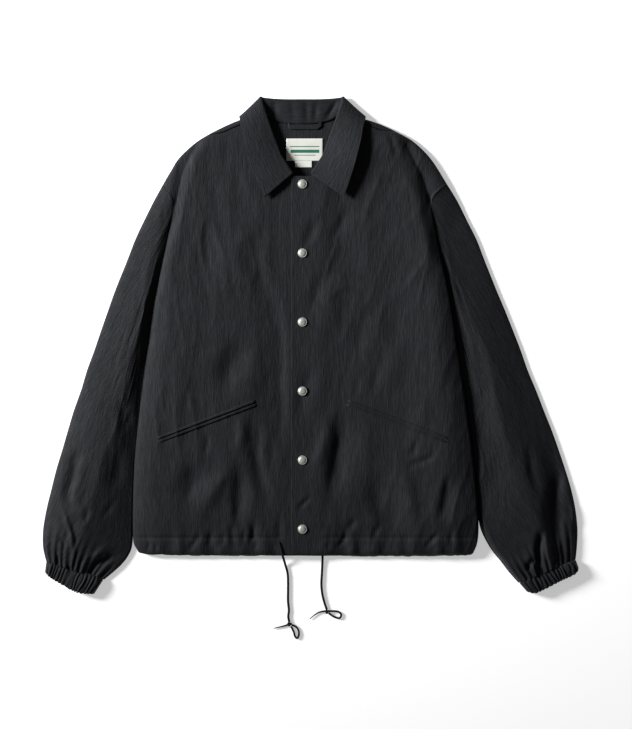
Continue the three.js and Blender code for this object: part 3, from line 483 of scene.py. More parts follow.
# Where each front folds down beside the sleeve's cap: route from the shoulder down, depth at the shoulder
# and further down, width of the ramp down, share of the depth that it rises again, and that rise's width
front_steps = {
    "left": ([(151, 324), (163, 296), (178, 266), (188, 240),
              (199, 211), (206, 182), (211, 155), (220, 110)], 6, 12, 24, 0, 18),
    "right": ([(152, 318), (164, 298), (174, 280), (182, 255),
               (189, 228), (195, 203), (201, 178), (207, 150)], 5, 7, 16, 0.4, 24),
}


def ease(t):
    """From 0 to 1 with a level start and end: three squares less two cubes."""
    t = np.clip(t, 0, 1)
    return t * t * (3 - 2 * t)


def mix(a, b, t):
    """The first value at share 0 and the second at share 1, in a straight line."""
    return a + (b - a) * t


def from_rows(rows, column, at):
    """A column of the rows at a place in their first column, eased between them."""
    places, values = rows[:, 0], rows[:, column]
    k = np.clip(np.searchsorted(places, at) - 1, 0, len(places) - 2)
    t = (at - places[k]) / (places[k + 1] - places[k])
    return mix(values[k], values[k + 1], ease(t))


def chain(*parts):
    """Runs along one curve after another, each up to its share of the whole."""

    def at(t):
        t = np.asarray(t, float)
        result, start = np.zeros(t.shape + (2,)), 0.0
        for until, curve in parts:
            here = (t >= start) & (t <= until + 1e-12)
            result[here] = curve((t[here] - start) / (until - start))
            start = until
        return result

    return at


def sheet_between(bottom, top, start, end, u, v):
    """A sheet between four edges: the sum of the two rulings less the corners' own blend."""
    one = np.ones(1)
    low, high, near, far = bottom(u)[None], top(u)[None], start(v)[:, None], end(v)[:, None]
    a, b, c, d = bottom(0 * one), bottom(one), top(0 * one), top(one)
    s, t = u[None, :, None], v[:, None, None]
    return ((1 - t) * low + t * high + (1 - s) * near + s * far
            - (1 - s) * (1 - t) * a - s * (1 - t) * b - (1 - s) * t * c - s * t * d)


def lumps(x, y, size_x, size_y, seed):
    """Smooth noise from -1 to 1: random values on a lattice of that spacing, eased between."""
    values = np.random.default_rng(seed).uniform(-1, 1, (128, 128))
    px, py = x / size_x + 1000.5, y / size_y + 1000.5
    ix, iy = np.floor(px).astype(int), np.floor(py).astype(int)
    tx, ty = ease(px - ix), ease(py - iy)
    low, high = (mix(values[ix % 128, (iy + k) % 128], values[(ix + 1) % 128, (iy + k) % 128], tx)
                 for k in (0, 1))
    return mix(low, high, ty)


def creased(creases, x, y):
    """The sum of the creases' heights. Across each route runs a bell with a width of its own on either
    side, between two low shoulders, faded over the route's ends. The place is shaken by smooth noise."""
    shaken_x = x + 2.2 * lumps(x, y, 24, 30, 71) + 0.8 * lumps(x, y, 9, 12, 72)
    shaken_y = y + 3 * lumps(x, y, 26, 26, 73)
    total = np.zeros_like(x)
    for rows, low_width, high_width, height in creases:
        route = spline(rows)
        share = np.linspace(0, 1, max(8, int(route.length / 2.5)))
        line = route(share)
        reach = 2.6 * max(low_width, high_width)
        near = ((shaken_x > line[:, 0].min() - reach) & (shaken_x < line[:, 0].max() + reach)
                & (shaken_y > line[:, 1].min() - reach) & (shaken_y < line[:, 1].max() + reach))
        apart = np.stack([shaken_x[near], shaken_y[near]], -1)[:, None] - line
        distance = np.linalg.norm(apart, axis=-1)
        nearest = distance.argmin(axis=1)
        each = np.arange(len(nearest))
        run = np.gradient(line, axis=0)[nearest]
        beyond = run[:, 0] * apart[each, nearest, 1] - run[:, 1] * apart[each, nearest, 0]
        off = 2 * distance[each, nearest] / np.where(beyond > 0, high_width, low_width)
        fade = ease(share / 0.42) * ease((1 - share) / 0.42)
        total[near] += height * fade[nearest] * (np.exp(-off ** 2) - 0.28 * np.exp(-(off / 2.2) ** 2))
    return total


def stepped(step, x, y):
    """How far a front lies lower at its step: a ramp down to the route, and a lesser rise beyond it. Its
    depth changes below the shoulder and fades out over the route's ends."""
    rows, drop, later_drop, ramp, recovery, width = step
    route = spline(rows)
    share = np.linspace(0, 1, 90)
    line = route(share)
    x = x + 1.5 * lumps(x, y, 12, 30, 74)
    apart = np.stack([x, y], -1)[..., None, :] - line
    distance = np.linalg.norm(apart, axis=-1)
    nearest = distance.argmin(axis=-1)
    run = np.gradient(line, axis=0)[nearest]
    chosen = np.take_along_axis(apart, nearest[..., None, None], axis=-2)[..., 0, :]
    beyond = np.sign(run[..., 0] * chosen[..., 1] - run[..., 1] * chosen[..., 0]) * distance.min(axis=-1)
    fade = (ease(share / 0.1) * ease((1 - share) / 0.2))[nearest]
    drop = mix(drop, later_drop, ease((share - 0.15) / 0.35))[nearest]
    return drop * fade * (np.clip((beyond + ramp) / ramp, 0, 1) ** 2 - recovery * ease(beyond / width))


def wrinkled(x, y, seed, lean=0.0):
    """Sharp low ridges where a stretched noise crosses zero, in two sizes, stronger here and fainter
    there. They run along the grain, leaning by that much."""
    across = x - lean * y + 5 * lumps(x, y, 40, 60, seed)
    wide = (1 - np.abs(lumps(across, y, 26, 85, seed + 1))) ** 3
    fine = (1 - np.abs(lumps(across, y, 9, 38, seed + 2))) ** 3
    strength = 0.5 + 0.5 * lumps(x, y, 70, 70, seed + 3)
    return (1.5 * wide + 0.5 * fine - 0.5) * strength


def crinkled(across, along, seed):
    """The washed cloth's own unevenness: lumps stretched along the grain, in three sizes."""
    return (0.22 * lumps(across, along, 7, 30, seed) + 0.38 * lumps(across, along, 15, 55, seed + 1)
            + 0.6 * lumps(across, along, 42, 90, seed + 2))


def normals(grid, ring=False):
    """Unit normals of a grid: the cross product of its steps across and along."""
    along = np.gradient(grid, axis=0)
    if ring:
        across = np.roll(grid, -1, axis=1) - np.roll(grid, 1, axis=1)
    else:
        across = np.gradient(grid, axis=1)
    return unit(np.cross(across, along))


def shell(name, outer, inner, uv, material, ring=False):
    """A closed wall between two like grids of points, smooth on its faces and flat on its rims. A ring's
    last column joins its first, and a wall that came out inside out is turned."""
    rows, cols = outer.shape[:2]
    index = np.arange(rows * cols).reshape(rows, cols)
    if ring:
        index = np.hstack([index, index[:, :1]])
    other = index + rows * cols
    quads = [
        grid_quads(index).reshape(-1, 4),
        grid_quads(other)[..., [0, 3, 2, 1]].reshape(-1, 4),
        np.stack([index[0, :-1], other[0, :-1], other[0, 1:], index[0, 1:]], -1),
        np.stack([index[-1, :-1], index[-1, 1:], other[-1, 1:], other[-1, :-1]], -1),
    ]
    if not ring:
        quads.append(np.stack([index[:-1, 0], index[1:, 0], other[1:, 0], other[:-1, 0]], -1))
        quads.append(np.stack([index[:-1, -1], other[:-1, -1], other[1:, -1], index[1:, -1]], -1))
    round_count = len(quads[0]) * 2
    quads = np.vstack(quads)
    smooth = np.arange(len(quads)) < round_count
    points = np.vstack([outer.reshape(-1, 3), inner.reshape(-1, 3)])
    a, b, c, d = (points[quads[:, k]] for k in range(4))
    volume = np.sum(a * np.cross(b, c)) + np.sum(a * np.cross(c, d))
    if volume < 0:
        quads = quads[:, ::-1]
    return put_mesh(name, points, quads, np.vstack([uv.reshape(-1, 2)] * 2), material, smooth)


def denser_at(end, count, strength=1.6):
    """Shares from 0 to 1 that crowd towards the start (0), the end (1) or both (None)."""
    t = np.linspace(0, 1, count)
    if end is None:
        return mix(t, ease(t), strength - 1)
    return 1 - (1 - t) ** strength if end else t ** strength


def armhole_top(t):
    """Height of the armhole's seam, on shares from the underarm to the shoulder."""
    ends = mix(valley_floor, seam_height, ease(t))
    return mix(ends, from_rows(armhole_seam, 1, t), round_off(np.minimum(t, 1 - t) / 0.16))


def forward_angle(x):
    """The shoulder seam's place round the fold: forward of it near the neck, on it further out."""
    forward = fold_reach * ease((x - 66) / 16) * (1 - ease((x - 118) / 34))
    return np.arccos(1 - forward / fold_reach)


def shoulder_fold(half, t, angle):
    """A point on the rounded shoulder, by its share of the shoulder and its angle round the fold."""
    at = half["shoulder_curve"](t)
    ahead, behind = half["shoulder_curve"](t + 0.004), half["shoulder_curve"](t - 0.004)
    run = unit(ahead - behind)
    inward = np.stack([run[..., 1], -run[..., 0]], -1)
    return at + inward * (fold_reach * (1 - np.cos(angle)))[..., None]


def front_height(x, y, sign):
    """The fronts' broad crown: their table's heights, eased along y and outwards from the centre."""
    centre, middle, right, left = (from_rows(crown, k, np.clip(y, -320, 350)) for k in (1, 2, 3, 4))
    share = np.clip(np.abs(x) / 235, 0, 1)
    return mix(mix(centre, middle, ease(share * 2)), left if sign > 0 else right, ease(share * 2 - 1))


for half in halves.values():
    half["shoulder_curve"] = spline(half["shoulder"])
    half["side_curve"] = spline(half["side"])
    half["sleeve_inner"] = half["side"][:2:-1] + half["sleeve_end"]
    half["armhole"] = spline([half["side"][-1], *armhole_rise, half["shoulder"][-1]])


def front_relief(half, x, y):
    """Height of one front away from its seams: the crown, the folds, the crinkles, the groove of the
    casing's stitching and the gathers that the cord draws in below it."""
    signed = x * half["sign"]
    near = ease((np.abs(x) - placket_flat) / 14)
    z = front_height(x, y, half["sign"]) + creased(front_creases, signed, y)
    z -= stepped(front_steps["left" if half["sign"] > 0 else "right"], x, y)
    z += half["lift"] * (1 - ease((x - placket_flat) / placket_fade))
    z += (0.25 + 0.75 * near) * crinkled(signed, y, 3)
    z += (0.3 + 0.7 * near) * wrinkled(signed, y, 81, lean=0.1 + 0.25 * half["sign"])
    above_hem = y - hem_y
    groove = groove_depth * np.exp(-(((above_hem - casing) / groove_width) ** 2))
    draw = np.sin(signed / 5.2 + 1.7 * lumps(signed, y * 0, 26, 1, 9))
    draw = draw * (0.6 + 0.4 * lumps(signed, y * 0, 40, 1, 10))
    return z + near * (draw * gather_depth * (1 - ease((above_hem - 6) / 44)) - groove)


def rounded_side(half, z, side_z, side_way):
    """Brings a height down to the side's: the right front in one round, and the left one in a slower
    fall to a short steep wall, which shades the sleeve."""
    if half["sign"] < 0:
        share = 0.85 * round_off(side_way / side_round["right"]) + 0.15 * np.clip(side_way / 70, 0, 1)
    else:
        rise = np.sin(np.clip(side_way / side_round["left"], 0, 1) * np.pi / 2)
        share = 0.64 * round_off(side_way / side_wall) + 0.36 * rise
    return mix(side_z, z, share)


def hem_rise(x, y, side_way, sign):
    """How far the hem is drawn up: round a corner at the side, and unevenly where the cord gathers it."""
    corner = hem_corner * (1 - round_off(side_way / 13)) * (1 - ease((y - hem_y) / 26))
    uneven = 0.8 * lumps(x * sign, 0 * x, 13, 1, 12) + 0.7 * lumps(x * sign, 0 * x, 5, 1, 13)
    return corner + uneven * ease((x - 30) / 20) * (1 - ease((y - hem_y) / 14))


def ways(plan, u, v):
    """How far each point of a sheet's plan is from its outer edge and from its top edge."""
    return ((1 - u)[None] * np.linalg.norm(plan[:, -1] - plan[:, 0], axis=-1)[:, None],
            (1 - v)[:, None] * np.linalg.norm(plan[-1] - plan[0], axis=-1)[None])


def front_surface(half):
    """The relief laid into the front's outline, rounded off at the side, the armhole and the shoulder."""
    turn = seam_gap / (shoulder_top - seam_height)

    def shoulder(t):
        return shoulder_fold(half, t, forward_angle(half["shoulder_curve"](t)[..., 0]) + turn)

    neck_end = shoulder(np.zeros(1))[0]
    top = chain((placket_share, spline([(half["edge"], neck_drop_y), front_neck[0]])),
                (neck_share, spline([*front_neck, tuple(neck_end)])), (1, shoulder))
    outer = chain((underarm_share, half["side_curve"]), (1, half["armhole"]))
    low = hem_y - half["hem_low"]
    hem = spline([(half["edge"], low), (60, low - 0.4), (160, low), half["side"][0]])
    edge = spline([(half["edge"], hem_y), (half["edge"], neck_drop_y)])
    # One more column, close to the placket's edge, keeps the edge's shading narrow
    u = np.unique(np.append(0.003, denser_at(1, 120, 1.45)))
    v = np.unique(np.concatenate([np.linspace(0, 0.09, 24), np.linspace(0.09, 0.94, 150),
                                  np.linspace(0.94, 1, 24)]))
    plan = sheet_between(hem, top, edge, outer, u, v)
    plan[..., 1] += hem_rise(plan[..., 0], plan[..., 1], (1 - u) * half_width, half["sign"])
    x, y = plan[..., 0], plan[..., 1]
    z = front_relief(half, x, y)
    signed = x * half["sign"]
    side_way, top_way = ways(plan, u, v)
    share = np.clip((v - underarm_share) / (1 - underarm_share), 0, 1)
    side_z = np.where(v < underarm_share, valley_floor + 0.4, armhole_top(share) + 0.15)[:, None]
    z = rounded_side(half, z, side_z, side_way)
    hem_edge = np.minimum(z, mix(10.8, 7, ease((np.abs(x) - 20) / 20)))
    z = mix(hem_edge, z, round_off((y - hem_y + 1) / 9))
    shoulder_z = seam_height + (shoulder_top - seam_height) * np.sin(forward_angle(x) + turn)
    z = np.where(u[None] > neck_share, mix(shoulder_z, z, round_off(top_way / 18)), z)
    return np.dstack([signed, y, z]), np.dstack([signed, y]) * MM


fronts = {}
for side, half in halves.items():
    surface, uv = front_surface(half)
    out = normals(surface) * half["sign"]
    fronts[side] = surface
    piece = shell(f"front_panel_{side}", surface, surface - out * cloth_thick, uv, shell_material)
    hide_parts(f"front_{side}")


# Back panel: cut in one, flat on the surface, curling up at the side seams and wrapping over the
# shoulders to the forward seam. Near the neck it lies on the collar's back leaf.
collar_bed = 2.1
under_share = 0.08
side_tuck, hem_tuck = 1.7, 1.5
back_neck = [(0, 334.4), (28, 335.8), (48, 339), (58.5, 343.6)]


def bed_height(x, y):
    """How high the collar's leaf, which lies under the back near the neck, lifts it."""
    return collar_bed * ease((y - 285) / 28) * (1 - ease((np.abs(x) - 102) / 30))


def resting(t, edge_z=seam_height):
    """An under half that lies on the surface: 0 between its edges, and up round both to their height."""
    return edge_z * (1 - round_off(np.minimum(t, 1 - t) / under_share))


def back_surface(half):
    """Places and heights of half the back: flat, rising in a quarter ellipse to the side and shoulder,
    then rows that go on round the shoulder's fold to the seam."""
    rule = -np.pi / 6

    def shoulder(t):
        return shoulder_fold(half, t, np.full(np.shape(t), rule))

    start, end = shoulder(np.zeros(1))[0], shoulder(np.ones(1))[0]
    top = chain((neck_share, spline([*back_neck, tuple(start)])), (1, shoulder))
    armhole = spline([half["side"][-1], *armhole_rise, tuple(end)])
    outer = chain((underarm_share, half["side_curve"]), (1, armhole))
    hem = spline([(0, hem_y - 1), (100, hem_y - 1.5), half["side"][0]])
    middle = spline([(0, hem_y - 1), back_neck[0]])
    u = denser_at(1, 60, 1.5)
    v = 1 - (1 - np.linspace(0, 1, 90)) ** 1.3
    plan = sheet_between(hem, top, middle, outer, u, v)
    plan[..., 1] += hem_rise(0 * plan[..., 0], plan[..., 1], (1 - u) * half_width, 1)
    plan[..., 1] += hem_tuck * (1 - v[:, None]) ** 20
    x, y = plan[..., 0], plan[..., 1]
    bed = bed_height(x, y)
    share = np.clip((v - underarm_share) / (1 - underarm_share), 0, 1)
    curl = np.where(v < underarm_share, 1, resting(np.minimum(share, 0.5)) / seam_height)[:, None]
    side_way, top_way = ways(plan, u, v)
    z = mix(bed, valley_floor - 1, curl * (1 - round_off(side_way / fold_reach)))
    x = x - side_tuck * curl * (1 - ease(side_way / fold_reach))
    reach = top_way + fold_reach * (1 - np.cos(rule))
    turned_up = mix(bed, seam_height, 1 - round_off(reach / fold_reach))
    z = np.where(u[None] >= neck_share, np.maximum(z, turned_up), z)
    rows = [np.dstack([x, y, z])]
    t = np.clip((u - neck_share) / (1 - neck_share), 0, 1)
    last = forward_angle(half["shoulder_curve"](t)[..., 0]) - seam_gap / (shoulder_top - seam_height)
    for k in range(1, 9):
        angle = mix(rule, last, k / 8)
        around = shoulder_fold(half, t, angle)
        rise = np.where(angle > 0, shoulder_top - seam_height, seam_height - bed[-1])
        wrap = np.column_stack([around, seam_height + rise * np.sin(angle)])
        flat = np.column_stack([plan[-1, :, 0], plan[-1, :, 1] + 0.12 * k, bed[-1]])
        rows.append(np.where((u < neck_share)[:, None], flat, wrap)[None])
    return np.vstack(rows)


left_back, right_back = (back_surface(halves[side]) for side in ("left", "right"))
right_back = right_back[:, :0:-1] * (-1, 1, 1)
back_points = np.hstack([right_back, left_back])
back_inside = back_points + cloth_thick * normals(back_points)
back_panel = shell("back_panel", back_points, back_inside, back_points[..., :2] * MM, shell_material)
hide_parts("back")


# Sleeves: one piece each, closed along the underarm into a tube, set in low on the shoulder. They puff
# up towards the cuff, where the elastic gathers them.
sleeve_shift = np.array((0.2, -0.1))
sleeve_tuck, seam_reach, seam_sink = 1.4, 1.8, 1.4
gather_count, gather_height = 11, 1.5

# Heights of the inner and the outer edge. Along the crest: share of the length, height, and then share of
# the length, place between the inner edge and the outer one
sleeve_floors = {"left": (1.9, 2.5), "right": (4, 5)}
sleeve_crown = {
    "left": np.array([(0, 14), (0.06, 12), (0.2, 11.5), (0.4, 11.5), (0.6, 13.5), (0.8, 16.5),
                      (0.92, 17), (1, 14)]),
    "right": np.array([(0, 15), (0.12, 15), (0.4, 16.5), (0.7, 21), (0.9, 21), (1, 15)]),
}
sleeve_crests = {
    "left": np.array([(0, 0.5), (0.2, 0.5), (0.45, 0.52), (0.7, 0.56), (1, 0.6)]),
    "right": np.array([(0, 0.78), (0.05, 0.72), (0.12, 0.56), (0.2, 0.46), (0.35, 0.42), (0.5, 0.42),
                       (0.64, 0.52), (1, 0.55)]),
}
sleeve_creases = {
    "left": [
        ([(393, -170), (386, -220), (382, -251), (386, -296), (398, -350)], 24, 23, -7.0),
        ([(372, -120), (386, -190), (392, -250), (396, -330)], 56, 30, -5.0),
        ([(369, -289), (375, -315), (382, -345)], 9, 9, 4.7),
        ([(374, -277), (362, -289), (359, -327), (363, -357)], 12, 12, -8.5),
        ([(348, -327), (357, -357)], 8, 8, 3.4),
        ([(351, -319), (340, -345)], 9, 9, -4.7),
        ([(410, -236), (415, -281)], 9, 9, 2.7),
        ([(233, 160), (262, 50), (288, -30), (304, -110), (324, -200), (342, -266)], 34, 84, 6.0),
        ([(340, -145), (350, -190), (362, -228)], 17, 17, -3.1),
    ],
    "right": [
        ([(331, -150), (343, -176), (350, -204), (353, -236), (348, -262)], 15, 18, -6.0),
        ([(368, -243), (356, -269), (348, -296), (345, -330)], 7, 7, 4.1),
        ([(372, -315), (371, -345)], 7, 7, -4.1),
        ([(353, -330), (353, -354)], 7, 7, -4.1),
        ([(365, -289), (359, -309)], 9, 9, -3.0),
        ([(274, -309), (295, -324), (313, -334), (325, -354), (331, -375)], 12, 12, -5.5),
        ([(292, -304), (322, -327)], 10, 10, 2.4),
        ([(325, -243), (331, -274)], 10, 10, -2.7),
        ([(280, -228), (293, -251), (307, -269)], 9, 9, -1.3),
        ([(268, -76), (274, -114), (280, -129)], 14, 14, -2.2),
        ([(258, -99), (271, -137)], 12, 12, -1.6),
        ([(274, -144), (280, -190), (289, -236)], 21, 24, -2.4),
        ([(211, 236), (214, 213)], 8, 8, -2.7),
        ([(201, 243), (202, 213), (198, 190)], 8, 8, -2.7),
        ([(207, 220), (210, 182)], 8, 8, -2.7),
    ],
}


def sleeve_surface(side, half):
    """Rings across the sleeve from the armhole to the cuff. The upper half rises from both edges to its
    crest. Each slope blends a quarter ellipse near its edge, a straight line, and a quarter sine or an
    eased step up to the crest. The head rises the same way from the armhole. The under half lies flat."""
    outer, inner = spline(half["sleeve_outer"]), spline(half["sleeve_inner"])
    cuff_line = spline([half["sleeve_inner"][-1], half["sleeve_outer"][-1]])
    v = np.unique(np.concatenate([np.linspace(0, 1, 20) ** 2 * 0.08, np.linspace(0.08, 1, 190)]))
    t_top = denser_at(None, 110, 1.75)
    t_under = denser_at(None, 26, 1.6)[1:-1][::-1]
    top_plan = sheet_between(half["armhole"], cuff_line, inner, outer, t_top, v) + sleeve_shift
    under_plan = sheet_between(half["armhole"], cuff_line, inner, outer, t_under, v) + sleeve_shift
    x, y = top_plan[..., 0], top_plan[..., 1]
    width = np.linalg.norm(top_plan[:, -1] - top_plan[:, 0], axis=-1)[:, None]
    across, along = t_top[None] * width, v[:, None] * outer.length
    seed = 20 if side == "left" else 30
    full = from_rows(sleeve_crown[side], 1, v)[:, None] + crinkled(across, along + 0 * across, seed)
    full = full + 0.8 * wrinkled(across, along + 0 * across, seed + 7)
    crest = from_rows(sleeve_crests[side], 1, v)[:, None]
    rise = np.clip((across - sleeve_tuck) / (crest * width - sleeve_tuck), 0, 1)
    fall = np.clip((1 - t_top[None]) / (1 - crest), 0, 1)
    if side == "left":
        inward = 0.84 * round_off((across - sleeve_tuck) / 6) + 0.16 * ease(rise)
        outward = 0.12 * round_off(fall / 0.1) + 0.88 * (0.5 * fall + 0.5 * np.sin(fall * np.pi / 2))
        head = (0.35 * round_off(v / 0.02) + 0.65 * ease(v / 0.1))[:, None]
    else:
        inward = 0.1 * round_off((across - sleeve_tuck) / 2)
        inward = inward + 0.9 * (0.75 * rise + 0.25 * np.sin(rise * np.pi / 2))
        outward = 0.7 * round_off(fall / 0.7) + 0.3 * fall
        grown = np.clip(v / 0.16, 0, 1)
        head = (0.1 * round_off(v / 0.02) + 0.9 * (0.6 * grown + 0.4 * np.sin(grown * np.pi / 2)))[:, None]
    arch = np.where(t_top[None] < crest, inward, outward)
    inner_z, outer_z = sleeve_floors[side]
    floor_z = np.where(t_top[None] < crest, inner_z, outer_z)
    z = mix(floor_z, full, arch)
    gathers = np.sin(2 * np.pi * t_top * gather_count + 1.5 * lumps(t_top * 100, t_top * 0, 9, 1, seed + 5))
    size = 0.7 + 0.3 * lumps(t_top * 100, t_top * 0, 14, 1, seed + 6)
    loose = creased(sleeve_creases[side], x, y)
    loose = loose + (gather_height * ease((v - 0.86) / 0.13))[:, None] * (gathers * size)[None]
    z = z + loose * round_off(np.minimum(t_top, 1 - t_top)[None] / 0.08)
    z = mix(armhole_top(t_top)[None], z, head)
    z[0] -= seam_sink
    for plan, shares in ((top_plan, t_top), (under_plan, t_under)):
        plan[0] -= seam_reach * unit(plan[3] - plan[0])
        tuck = ease((v[:, None] + 0.003) / 0.006) * sleeve_tuck
        plan[..., 0] -= tuck * (1 - ease(shares[None] * width / 6))
    top = np.dstack([top_plan, z])
    under_z = resting(t_under, np.where(t_under < 0.5, inner_z, outer_z))
    under = np.dstack([under_plan, np.broadcast_to(under_z, under_plan.shape[:2])])
    uv_top = np.dstack([across, along + 0 * across]) * MM
    uv_under = np.dstack([0.35 - t_under[None] * width * MM, (along + 0 * t_under[None]) * MM])
    return np.hstack([top, under]), np.hstack([uv_top, uv_under])


def hollow(name, half, surface, plain, uv):
    """A hollow tube of cloth on the half's side. Its inside is one wall within the plain surface."""
    inside = plain + normals(plain, ring=True) * cloth_thick
    mirror = (half["sign"], 1, 1)
    return shell(name, surface * mirror, inside * mirror, uv, shell_material, ring=True)


for side, half in halves.items():
    surface, uv = sleeve_surface(side, half)
    piece = hollow(f"sleeve_tube_{side}", half, surface, surface, uv)
    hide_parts(f"sleeve_{side}")


# Cuffs: a band of the same cloth over wide elastic, drawn up into puckers, hollow inside. Its sewn edge
# is tucked into the sleeve's end.
cuff_puckers = 15
cuff_top = 12.2
pucker_height = 3.4


def cuff_surface(half, seed):
    """Rings along the band: the upper half is the flattened oval of the wrist plus the puckers, round on
    top and sharp between, each of its own height and lean. The under half lies flat."""
    inner, outer = half["sleeve_inner"][-1], half["sleeve_outer"][-1]
    top_line, bottom_line = spline([inner, outer]), spline(half["cuff_bottom"][::-1])
    away = unit(np.array([outer[1] - inner[1], inner[0] - outer[0]]))
    t_top = np.linspace(0, 1, 361)
    t_under = np.linspace(0, 1, 30)[1:-1][::-1]
    share = np.concatenate([[-0.12, -0.04], np.linspace(0, 1, 25)])[:, None]
    shape = round_off(np.minimum(t_top, 1 - t_top) / 0.12)[None]
    lean = 0.35 * lumps(share * 20, t_top[None] * 110, 12, 13, seed)
    crowd = 0.8 * lumps(t_top * 110, t_top * 0, 15, 1, seed + 1)[None]
    pucker = np.abs(np.sin(np.pi * (cuff_puckers * t_top[None] + lean + crowd)))
    high = 0.75 + 0.5 * lumps(t_top[None] * 110, share * 20, 7, 16, seed + 2)
    swell = 0.55 + 0.45 * np.sin(np.pi * np.clip(share, 0, 1))
    wave = pucker_height * pucker ** 0.8 * high * shape * swell

    def place(t, reach):
        start = top_line(t) + away * 0.6
        return mix(start[None], bottom_line(t)[None], reach[..., None]) + sleeve_shift

    scallop = share + 0.05 * np.clip(share, 0, 1) ** 3 * (pucker - 0.5) * shape
    tuck = ease(-share / 0.04)
    middle = mix(cuff_top, cuff_top - 1.6, tuck)
    z = mix(seam_height - 0.5 * tuck, middle, shape) + wave
    top = np.dstack([place(t_top, scallop), z])
    under_z = mix(resting(t_under)[None], 1.2, 0.9 * tuck)
    under = np.dstack([place(t_under, share + 0 * t_under[None]), under_z])
    centre = mix(top[:, :1, :2], top[:, -1:, :2], 0.5)
    for part in (top, under):
        part[..., :2] = mix(part[..., :2], centre, 0.028 * tuck[..., None])
    plain = np.hstack([top, under])
    plain[:, :len(t_top), 2] -= 0.75 * wave
    reach = np.concatenate([t_top, t_under]) * 200
    uv = np.dstack([np.broadcast_to(reach, (len(share), len(reach))),
                    np.broadcast_to(share * 20, (len(share), len(reach)))]) * MM
    return np.hstack([top, under]), plain, uv


for seed, (side, half) in enumerate(halves.items(), 140):
    piece = hollow(f"cuff_band_{side}", half, *cuff_surface(half, seed))
    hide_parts(f"cuff_{side}")


# Collar: stand and leaf folded from one piece. The leaf rolls out over the fronts, round the side of
# the neck and under the back.
roll_radius = 2.2
collar_thick, leaf_swell = 1.3, 1.1
collar_girth, collar_depth = 500, 95

# Stations from the front end to the middle of the back: neck seam, roll and the back's leaf edge, and the
# angle at which the leaf lies to the stand, 90 above it and -90 below it. Each half has its own front leaf.
collar_stations = np.array([
    (13.4, 259, 9.6, 14, 262, 13, 0, 0, 0, 90), (28.8, 269.8, 9, 20.5, 271.5, 12, 0, 0, 0, 90),
    (47, 290.6, 8.6, 32, 290, 10.5, 0, 0, 0, 90), (52.6, 304.6, 8.6, 37, 304, 9.5, 0, 0, 0, 90),
    (57, 319.2, 8.6, 43, 320, 10, 0, 0, 0, 90), (59.3, 334.2, 8.6, 49.5, 338, 10, 0, 0, 0, 88),
    (60.6, 346.5, 8.2, 56.5, 359, 9.5, 0, 0, 0, 60), (59.5, 355.5, 6.4, 62, 376.5, 7, 0, 0, 0, 5),
    (53.8, 350.4, 4, 59, 376.5, 4, 90, 339.5, 0.95, -60),
    (45.4, 343.4, 3.2, 46, 375, 3.2, 66, 328, 0.85, -90),
    (24, 338, 3, 24, 374, 3.2, 32, 323.5, 0.85, -90), (0, 336.6, 3, 0, 374, 3.2, 0, 322, 0.85, -90),
])

# Pleats of the back stand: x at the seam and at the roll, width and depth
stand_pleats = [(-44, -41, 5, 1.4), (-12, -16, 4, 0.8), (8, 6, 4, 1.4), (19, 22, 4, 1.5), (36, 54, 5, 2.4)]


def collar_half(half):
    """The wall's middle surface: straight from the neck to the roll, half a circle round it, and straight
    on to the leaf's edge, at each station of a smooth run from the front to the back."""
    table = collar_stations.copy()
    table[:8, 6:9] = half["leaf_edge"]
    padded = np.vstack([2 * table[0] - table[1], table, 2 * table[-1] - table[-2]])
    rows = catmull(padded, np.linspace(0, 1, 90) * (len(table) - 1))
    neck, roll, edge, angle = rows[:, :3], rows[:, 3:6], rows[:, 6:9], np.radians(rows[:, 9:])
    flat = np.array((1, 1, 0))
    into = unit(unit((neck - roll) * flat) + unit((edge - roll) * flat))
    aside = np.column_stack([-into[:, 1], into[:, 0], into[:, 2] * 0]) * np.cos(angle)
    aside[:, 2] = np.sin(angle[:, 0])

    def on_roll(phi):
        return (roll[:, None] + into[:, None] * (roll_radius * (1 - np.cos(phi)))[None, :, None]
                + aside[:, None] * (roll_radius * np.sin(phi))[None, :, None])

    stand_top, leaf_top = on_roll(np.array([-np.pi / 2])), on_roll(np.array([np.pi / 2]))
    stand_share = np.linspace(0, 1, 13)[None, :-1, None]
    leaf_share = np.append(np.linspace(0, 0.99, 29), 1)[None, :, None]
    stand = mix(neck[:, None], stand_top, stand_share)
    at_back = ease((stand[..., 1] - 335) / 4) * ease((60 - stand[..., 0]) / 10)
    for low_x, high_x, width, depth in stand_pleats:
        off = (stand[..., 0] * half["sign"] - mix(low_x, high_x, stand_share[..., 0])) / width
        stand[..., 2] -= depth * at_back * np.exp(-off ** 2) * np.sin(np.pi * stand_share[..., 0] * 0.95)
    bend = on_roll(np.linspace(-np.pi / 2, np.pi / 2, 12)[:-1])
    leaf = mix(leaf_top, edge[:, None], leaf_share)
    rise = np.clip(np.sin(angle), 0, 1)[:, :, None]
    leaf[..., 2:] += leaf_swell * np.sin(np.pi * leaf_share) * rise
    return np.hstack([stand, bend, leaf])


left_collar, right_collar = collar_half(halves["left"]), collar_half(halves["right"])
collar_points = np.vstack([right_collar[:-1] * (-1, 1, 1), left_collar[::-1]])
collar_out = normals(collar_points) * collar_thick / 2
collar_walls = collar_points + collar_out, collar_points - collar_out
collar_across = np.linspace(-0.5, 0.5, collar_points.shape[0])[:, None] * collar_girth * MM
collar_along = np.linspace(0, collar_depth, collar_points.shape[1])[None] * MM
collar_uv = np.dstack(np.broadcast_arrays(collar_along, collar_across))
collar = shell("collar_fold", *collar_walls, collar_uv, shell_material)
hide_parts("collar")


